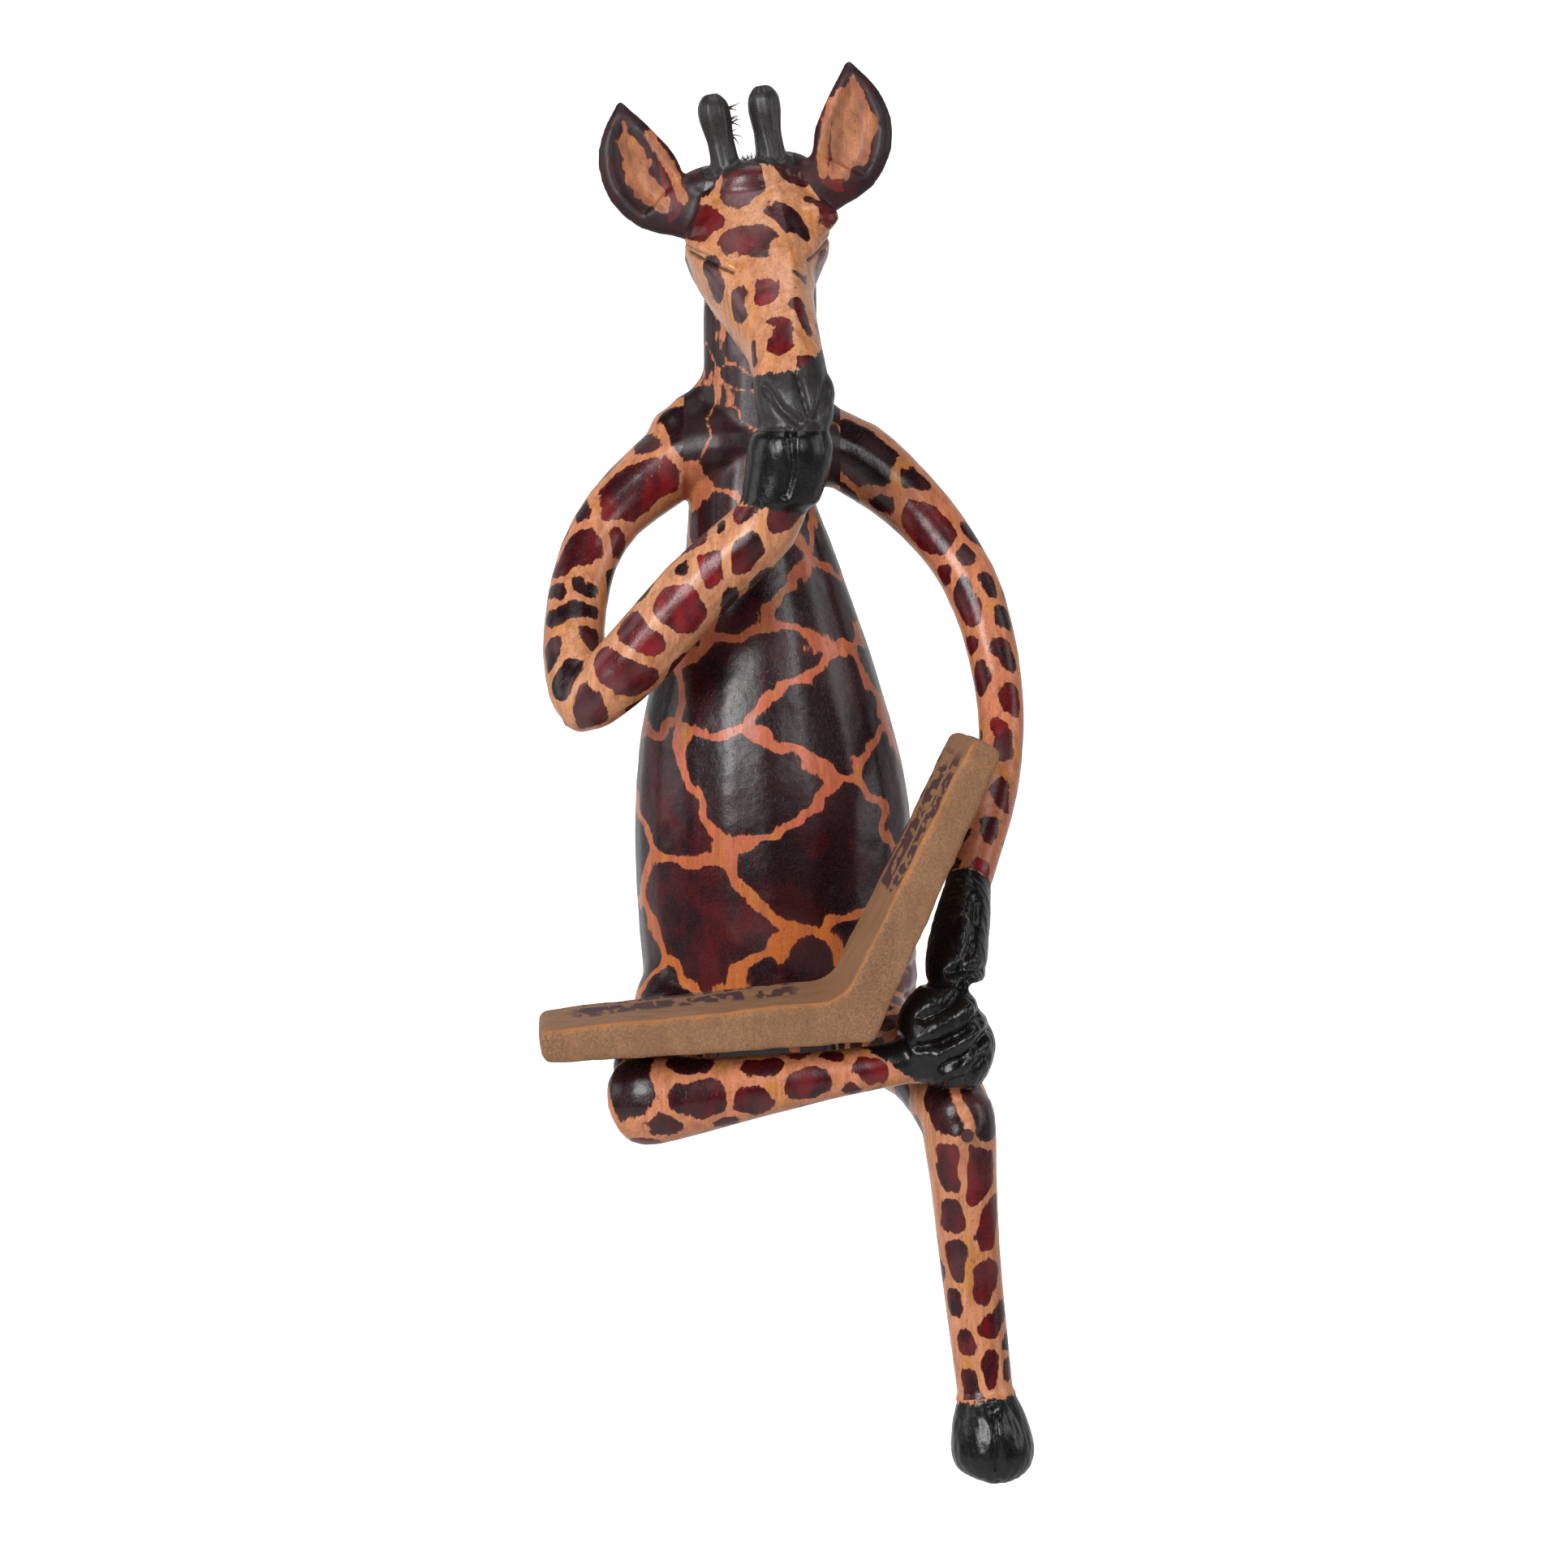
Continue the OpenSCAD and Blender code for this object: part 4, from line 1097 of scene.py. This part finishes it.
class GIRAFFE_OT_legs(bpy.types.Operator):
    """Stains the crossed leg and the hanging leg"""
    bl_idname = "giraffe.legs"
    bl_label = "Legs"

    def execute(self, context):
        line = sizes().limb_line / MM * 0.75
        stain_limb("crossed_leg", CROSS_PATCHES, 9.0, line, 71, 0.8, 0.62, 0.15, "crossed")
        stain_limb("hanging_leg", HANG_PATCHES, 9.0, line, 81, 0.8, 0.78, 0.15, "hanging")
        return {"FINISHED"}


class GIRAFFE_OT_hooves(bpy.types.Operator):
    """Paints the four hooves black"""
    bl_idname = "giraffe.hooves"
    bl_label = "Hooves"

    def execute(self, context):
        for name, hoof in (("chin_hoof", "chin"), ("knee_hoof", "palm"),
                           ("crossed_hoof", "crossed"), ("hanging_hoof", "hanging")):
            ob = piece("carved_" + name)
            co, no = refine(ob, 0.35, 2)
            cuts = 0.09 * wobble(co * (1, 1, 0.35), 2.8, 91) + 0.02 * wobble(co, 1.6, 92)
            cuts *= 0.35 if hoof == "chin" else 0.9
            put_points(ob, co + no * cuts[:, None])
            black = hoof_paint(co, hoof)
            write(ob, patch=-3, tone=0.3, worn=0, pale=0.6, gold=0,
                  black=np.where(black > 0.1 - DEEP, black, DEEP))
            finish_hide(ob, name)
        return {"FINISHED"}


HAIR_FOOT, HAIR_TIP = 0.00026, 0.00005
POLL_HAIRS = 90
# Stray hairs beside a horn, on the head: x, z, sideways lean, upward lean, how many.
STRAYS = ((-2.63, 47.5, 1, 0.25, 5), (-2.63, 50.5, 1, -0.1, 4), (-2.99, 44.5, 1, -0.5, 3))


class GIRAFFE_OT_mane(bpy.types.Operator):
    """Sets short coarse hairs along the mane and round the horns"""
    bl_idname = "giraffe.mane"
    bl_label = "Mane"

    def execute(self, context):
        bed = copy_of("mane", "mane")
        apply(bed, "REMESH", mode="VOXEL", voxel_size=0.0006, adaptivity=0.0)
        co, no = points(bed), normals(bed)
        rough = 0.35 * wobble(co, 3, 7) + 0.25 * wobble(co, 1.6, 8)
        put_points(bed, co + no * (rough - 0.35)[:, None])
        co, no = points(bed), normals(bed)
        rng = np.random.default_rng(101)
        bpy.ops.object.select_all(action="DESELECT")
        bpy.ops.mesh.primitive_cone_add(vertices=4, radius1=HAIR_FOOT, radius2=HAIR_TIP,
                                        depth=1, location=(0, 0, 0.5))
        hair = bpy.context.object
        bpy.ops.object.transform_apply(location=True, rotation=True, scale=True)
        edit(hair)
        bpy.ops.mesh.subdivide(number_cuts=2)
        done()
        at = points(hair) * MM
        bow = np.stack([0.0007 * at[:, 2] ** 2, 0.0002 * np.sin(3 * at[:, 2]), 0 * at[:, 2]], 1)
        put_points(hair, (at + bow) / MM)
        pool = np.flatnonzero((no[:, 1] > 0.1) & (co[:, 2] > 145))
        roots = []
        for i in rng.choice(pool, sizes().hairs, replace=False):
            way = no[i] + np.array((0, 0.3, 0.5)) + rng.normal(size=3) * 0.35
            roots.append((co[i] - no[i] * 0.4, way, sizes().bristle / MM * rng.uniform(0.5, 1)))
        for _ in range(POLL_HAIRS):
            a, b = rng.uniform(-6.5, 6.5), rng.uniform(-6, 3)
            at = np.array(on_head(a, b, 36.2))
            way = np.array((rng.normal() * 0.5, rng.normal() * 0.5, 1.0))
            roots.append((at, way, rng.uniform(1.5, 3.2)))
        for x, z, dx, dz, n in STRAYS:
            for _ in range(n):
                at = np.array(on_head(x, -4 + rng.uniform(-1, 1), z + rng.uniform(-0.6, 0.6)))
                way = np.array((dx + rng.normal() * 0.2, rng.normal() * 0.4,
                                dz + rng.normal() * 0.4))
                roots.append((at, way, rng.uniform(2.0, 3.6)))
        made = []
        for at, way, long in roots:
            way = Vector(way).normalized()
            turn = way.to_track_quat("Z", "X").to_matrix().to_4x4()
            mesh = hair.data.copy()
            mesh.transform(Matrix.Translation(Vector(at) * MM) @ turn
                           @ Matrix.Rotation(rng.uniform(0, 6.28), 4, "Z")
                           @ Matrix.Diagonal((1, 1, long * MM, 1)))
            ob = bpy.data.objects.new("hair", mesh)
            bpy.context.scene.collection.objects.link(ob)
            made.append(ob)
        bpy.data.objects.remove(hair)
        finish(joined([bed] + made, "mane_hair"), fibre_finish(), 60, "mane")
        return {"FINISHED"}


class GIRAFFE_OT_book(bpy.types.Operator):
    """Rounds the open book and sets out the rows of marks on its pages"""
    bl_idname = "giraffe.book"
    bl_label = "Book"

    def execute(self, context):
        ob = copy_of("book", "reading_book")
        apply(ob, "REMESH", mode="VOXEL", voxel_size=0.0007, adaptivity=0.0)
        apply(ob, "SMOOTH", factor=0.5, iterations=6)
        co = points(ob)
        no = normals(ob)
        hand = sizes().book_wave / MM * (wobble(co, 24, 111) + 0.4545 * wobble(co, 7, 112))
        co = co + no * hand[:, None]
        put_points(ob, co)
        x, y, z = ((co - np.array(BOOK_SPINE)) @ BOOK_TURN).T
        facing = no @ BOOK_TURN
        rise, dip = BOOK_RISE, BOOK_DIP
        # along the page that rises and along the flat one, from the spine
        right = x > 5
        s = np.where(right, x * math.cos(rise) + z * math.sin(rise),
                     -x * math.cos(dip) - z * math.sin(dip))
        up = np.where(right, -facing[:, 0] * math.sin(rise) + facing[:, 2] * math.cos(rise),
                      facing[:, 2])
        on_page = unit((up - 0.75) * 5) * unit((s - 14) / 3)
        on_page *= unit((70 - s) / 3) * unit((y - 2.5) / 1.5)
        left_far = np.where(right, 1.0, unit((y - 20) / 4))
        front = unit((-facing[:, 1] - 0.6) * 4)
        low = unit(1 - np.abs(s - 76) / 6) + unit(1 - s / 12) * 0.5
        # darker specks all over, more on the front face, most near the far ends of the pages and
        # some at the spine
        write(ob, page=on_page * left_far, page_s=np.where(right, s, s + 40), page_t=y,
              rim=unit(1 - np.abs(y - 1.0) / 1.3) * unit(up * 2),
              grime=unit(front * (0.25 + 0.4 * low) + 0.1))
        finish(ob, board_finish(), 60, "book")
        return {"FINISHED"}


class GIRAFFE_OT_dowels(bpy.types.Operator):
    """Gives the dowels, pins, peg and plug their wood"""
    bl_idname = "giraffe.dowels"
    bl_label = "Dowels and peg"

    def execute(self, context):
        pale = plain_wood("dowel wood", tint("dowel"), (0.40, 0.24, 0.10, 1), 0.6)
        bamboo = plain_wood("peg bamboo", (0.62, 0.42, 0.20, 1), (0.45, 0.27, 0.11, 1), 0.45)
        dark = plain_wood("dark filler", (0.045, 0.012, 0.012, 1), (0.020, 0.006, 0.008, 1), 0.4)
        for names, mat in ((("neck_dowel", "shoulder_dowels", "hip_dowels", "hoof_pins"), pale),
                           (("book_peg",), bamboo), (("knee_plug",), dark)):
            for name in names:
                ob = frame["nodes"][name]
                ob.data.materials.clear()
                ob.data.materials.append(mat)
        return {"FINISHED"}


# Area lights: name, place and aim in metres, width, height, watts.
LIGHTS = (("key", (-0.58, -1.06, 0.52), (0, 0, 0.09), 0.50, 0.7, 18),
          ("fill", (0.52, -1.12, 0.60), (0, 0, 0.08), 0.26, 0.6, 4.5),
          ("rim", (1.10, -0.25, 0.40), (0, 0, 0.08), 0.5, 0.8, 4),
          ("back", (-1.10, -0.10, 0.40), (0, 0, 0.08), 0.5, 0.8, 3),
          ("top", (0.0, -0.1, 1.1), (0, 0, 0.1), 0.6, 0.5, 3))
CAMERA_PITCH, CAMERA_REACH, CAMERA_AIM = math.radians(6), 1.1, Vector((0, 0, 0.071))


class GIRAFFE_OT_stage(bpy.types.Operator):
    """Lays a pale sweep and sets soft studio lights and the camera"""
    bl_idname = "giraffe.stage"
    bl_label = "Studio"

    def execute(self, context):
        bpy.ops.object.select_all(action="DESELECT")
        bpy.ops.mesh.primitive_plane_add(size=1)
        floor = bpy.context.object
        floor.name = "studio_floor"
        floor.data.transform(Matrix.Translation((0, -0.3, CAD_BOX[0][2] - 0.26))
                             @ Matrix.Diagonal((9, 5, 1, 1)))
        edit(floor, "DESELECT")
        bpy.ops.mesh.select_mode(type="EDGE")
        done()
        for e in floor.data.edges:
            e.select = all(floor.data.vertices[v].co.y > 0 for v in e.vertices)
        bpy.ops.object.mode_set(mode="EDIT")
        bpy.ops.mesh.extrude_region_move(TRANSFORM_OT_translate={"value": (0, 0, 4)})
        done()
        apply(floor, "BEVEL", width=1.6, segments=24, angle_limit=0.2)
        bpy.ops.object.shade_smooth()
        mat, t, bsdf = shader("studio paper")
        fibre = noise_of(t, 300)
        feed(t, bsdf.inputs["Base Color"],
             blend(t, fibre, (0.70, 0.70, 0.70, 1), (0.73, 0.73, 0.73, 1)))
        feed(t, bsdf.inputs["Roughness"], ramp(t, fibre, 0, 1, 0.85, 0.95))
        bsdf.inputs["Emission Color"].default_value = (1, 1, 1, 1)
        # bright to look at, while only the paper behind the figure lights it
        looked_at = node(t, "LightPath").outputs["Is Camera Ray"]
        depth = node(t, "SeparateXYZ")
        feed(t, depth.inputs[0], node(t, "TexCoord").outputs["Object"])
        behind = ramp(t, depth.outputs[1], 0.1, 0.9, 0.01, 0.45)
        feed(t, bsdf.inputs["Emission Strength"], ramp(t, looked_at, 0, 1, behind, 1.0))
        floor.data.materials.append(mat)
        world = bpy.data.worlds.new("studio")
        world.use_nodes = True
        sky = world.node_tree.nodes["Background"]
        sky.inputs[0].default_value = (1, 1, 1, 1)
        # a white room to look at, a dim one to light the figure
        seen = node(world.node_tree, "LightPath").outputs["Is Camera Ray"]
        feed(world.node_tree, sky.inputs[1], ramp(world.node_tree, seen, 0, 1, 0.05, 1.0))
        bpy.context.scene.world = world
        bpy.context.scene.view_settings.view_transform = "Standard"
        for name, at, aim, wide, tall, watts in LIGHTS:
            data = bpy.data.lights.new(name, "AREA")
            data.shape = "RECTANGLE"
            data.size, data.size_y = wide, tall
            data.energy = watts
            lamp = bpy.data.objects.new(name, data)
            lamp.location = at
            way = Vector(aim) - Vector(at)
            lamp.rotation_euler = way.to_track_quat("-Z", "Y").to_euler()
            bpy.context.scene.collection.objects.link(lamp)
        view = bpy.data.cameras.new("view")
        view.lens = 100
        view.sensor_width = 36
        camera = bpy.data.objects.new("view", view)
        back = Vector((0, -math.cos(CAMERA_PITCH), math.sin(CAMERA_PITCH)))
        camera.location = CAMERA_AIM + CAMERA_REACH * back
        camera.rotation_euler = (math.pi / 2 - CAMERA_PITCH, 0, 0)
        bpy.context.scene.collection.objects.link(camera)
        bpy.context.scene.camera = camera
        return {"FINISHED"}


STEPS = (GIRAFFE_OT_blank, GIRAFFE_OT_body, GIRAFFE_OT_head, GIRAFFE_OT_ears,
         GIRAFFE_OT_horns, GIRAFFE_OT_arms, GIRAFFE_OT_legs, GIRAFFE_OT_hooves,
         GIRAFFE_OT_mane, GIRAFFE_OT_book, GIRAFFE_OT_dowels, GIRAFFE_OT_stage)


class GIRAFFE_PT_panel(bpy.types.Panel):
    bl_label = "Carved giraffe"
    bl_idname = "GIRAFFE_PT_panel"
    bl_space_type = "VIEW_3D"
    bl_region_type = "UI"
    bl_category = "Carving"

    def draw(self, context):
        col = self.layout.column()
        for name in GiraffeSizes.__annotations__:
            col.prop(context.scene.giraffe_sizes, name)
        for name in GiraffeColours.__annotations__:
            col.prop(context.scene.giraffe_colours, name)
        for step in STEPS:
            col.operator(step.bl_idname)


CLASSES = (GiraffeSizes, GiraffeColours, *STEPS, GIRAFFE_PT_panel)


def register():
    for cls in CLASSES:
        bpy.utils.register_class(cls)
    bpy.types.Scene.giraffe_sizes = bpy.props.PointerProperty(type=GiraffeSizes)
    bpy.types.Scene.giraffe_colours = bpy.props.PointerProperty(type=GiraffeColours)


def unregister():
    del bpy.types.Scene.giraffe_colours
    del bpy.types.Scene.giraffe_sizes
    for cls in reversed(CLASSES):
        bpy.utils.unregister_class(cls)


def main():
    register()
    for step in STEPS:
        area, name = step.bl_idname.split(".")
        getattr(getattr(bpy.ops, area), name)()


if __name__ == "__main__":
    main()
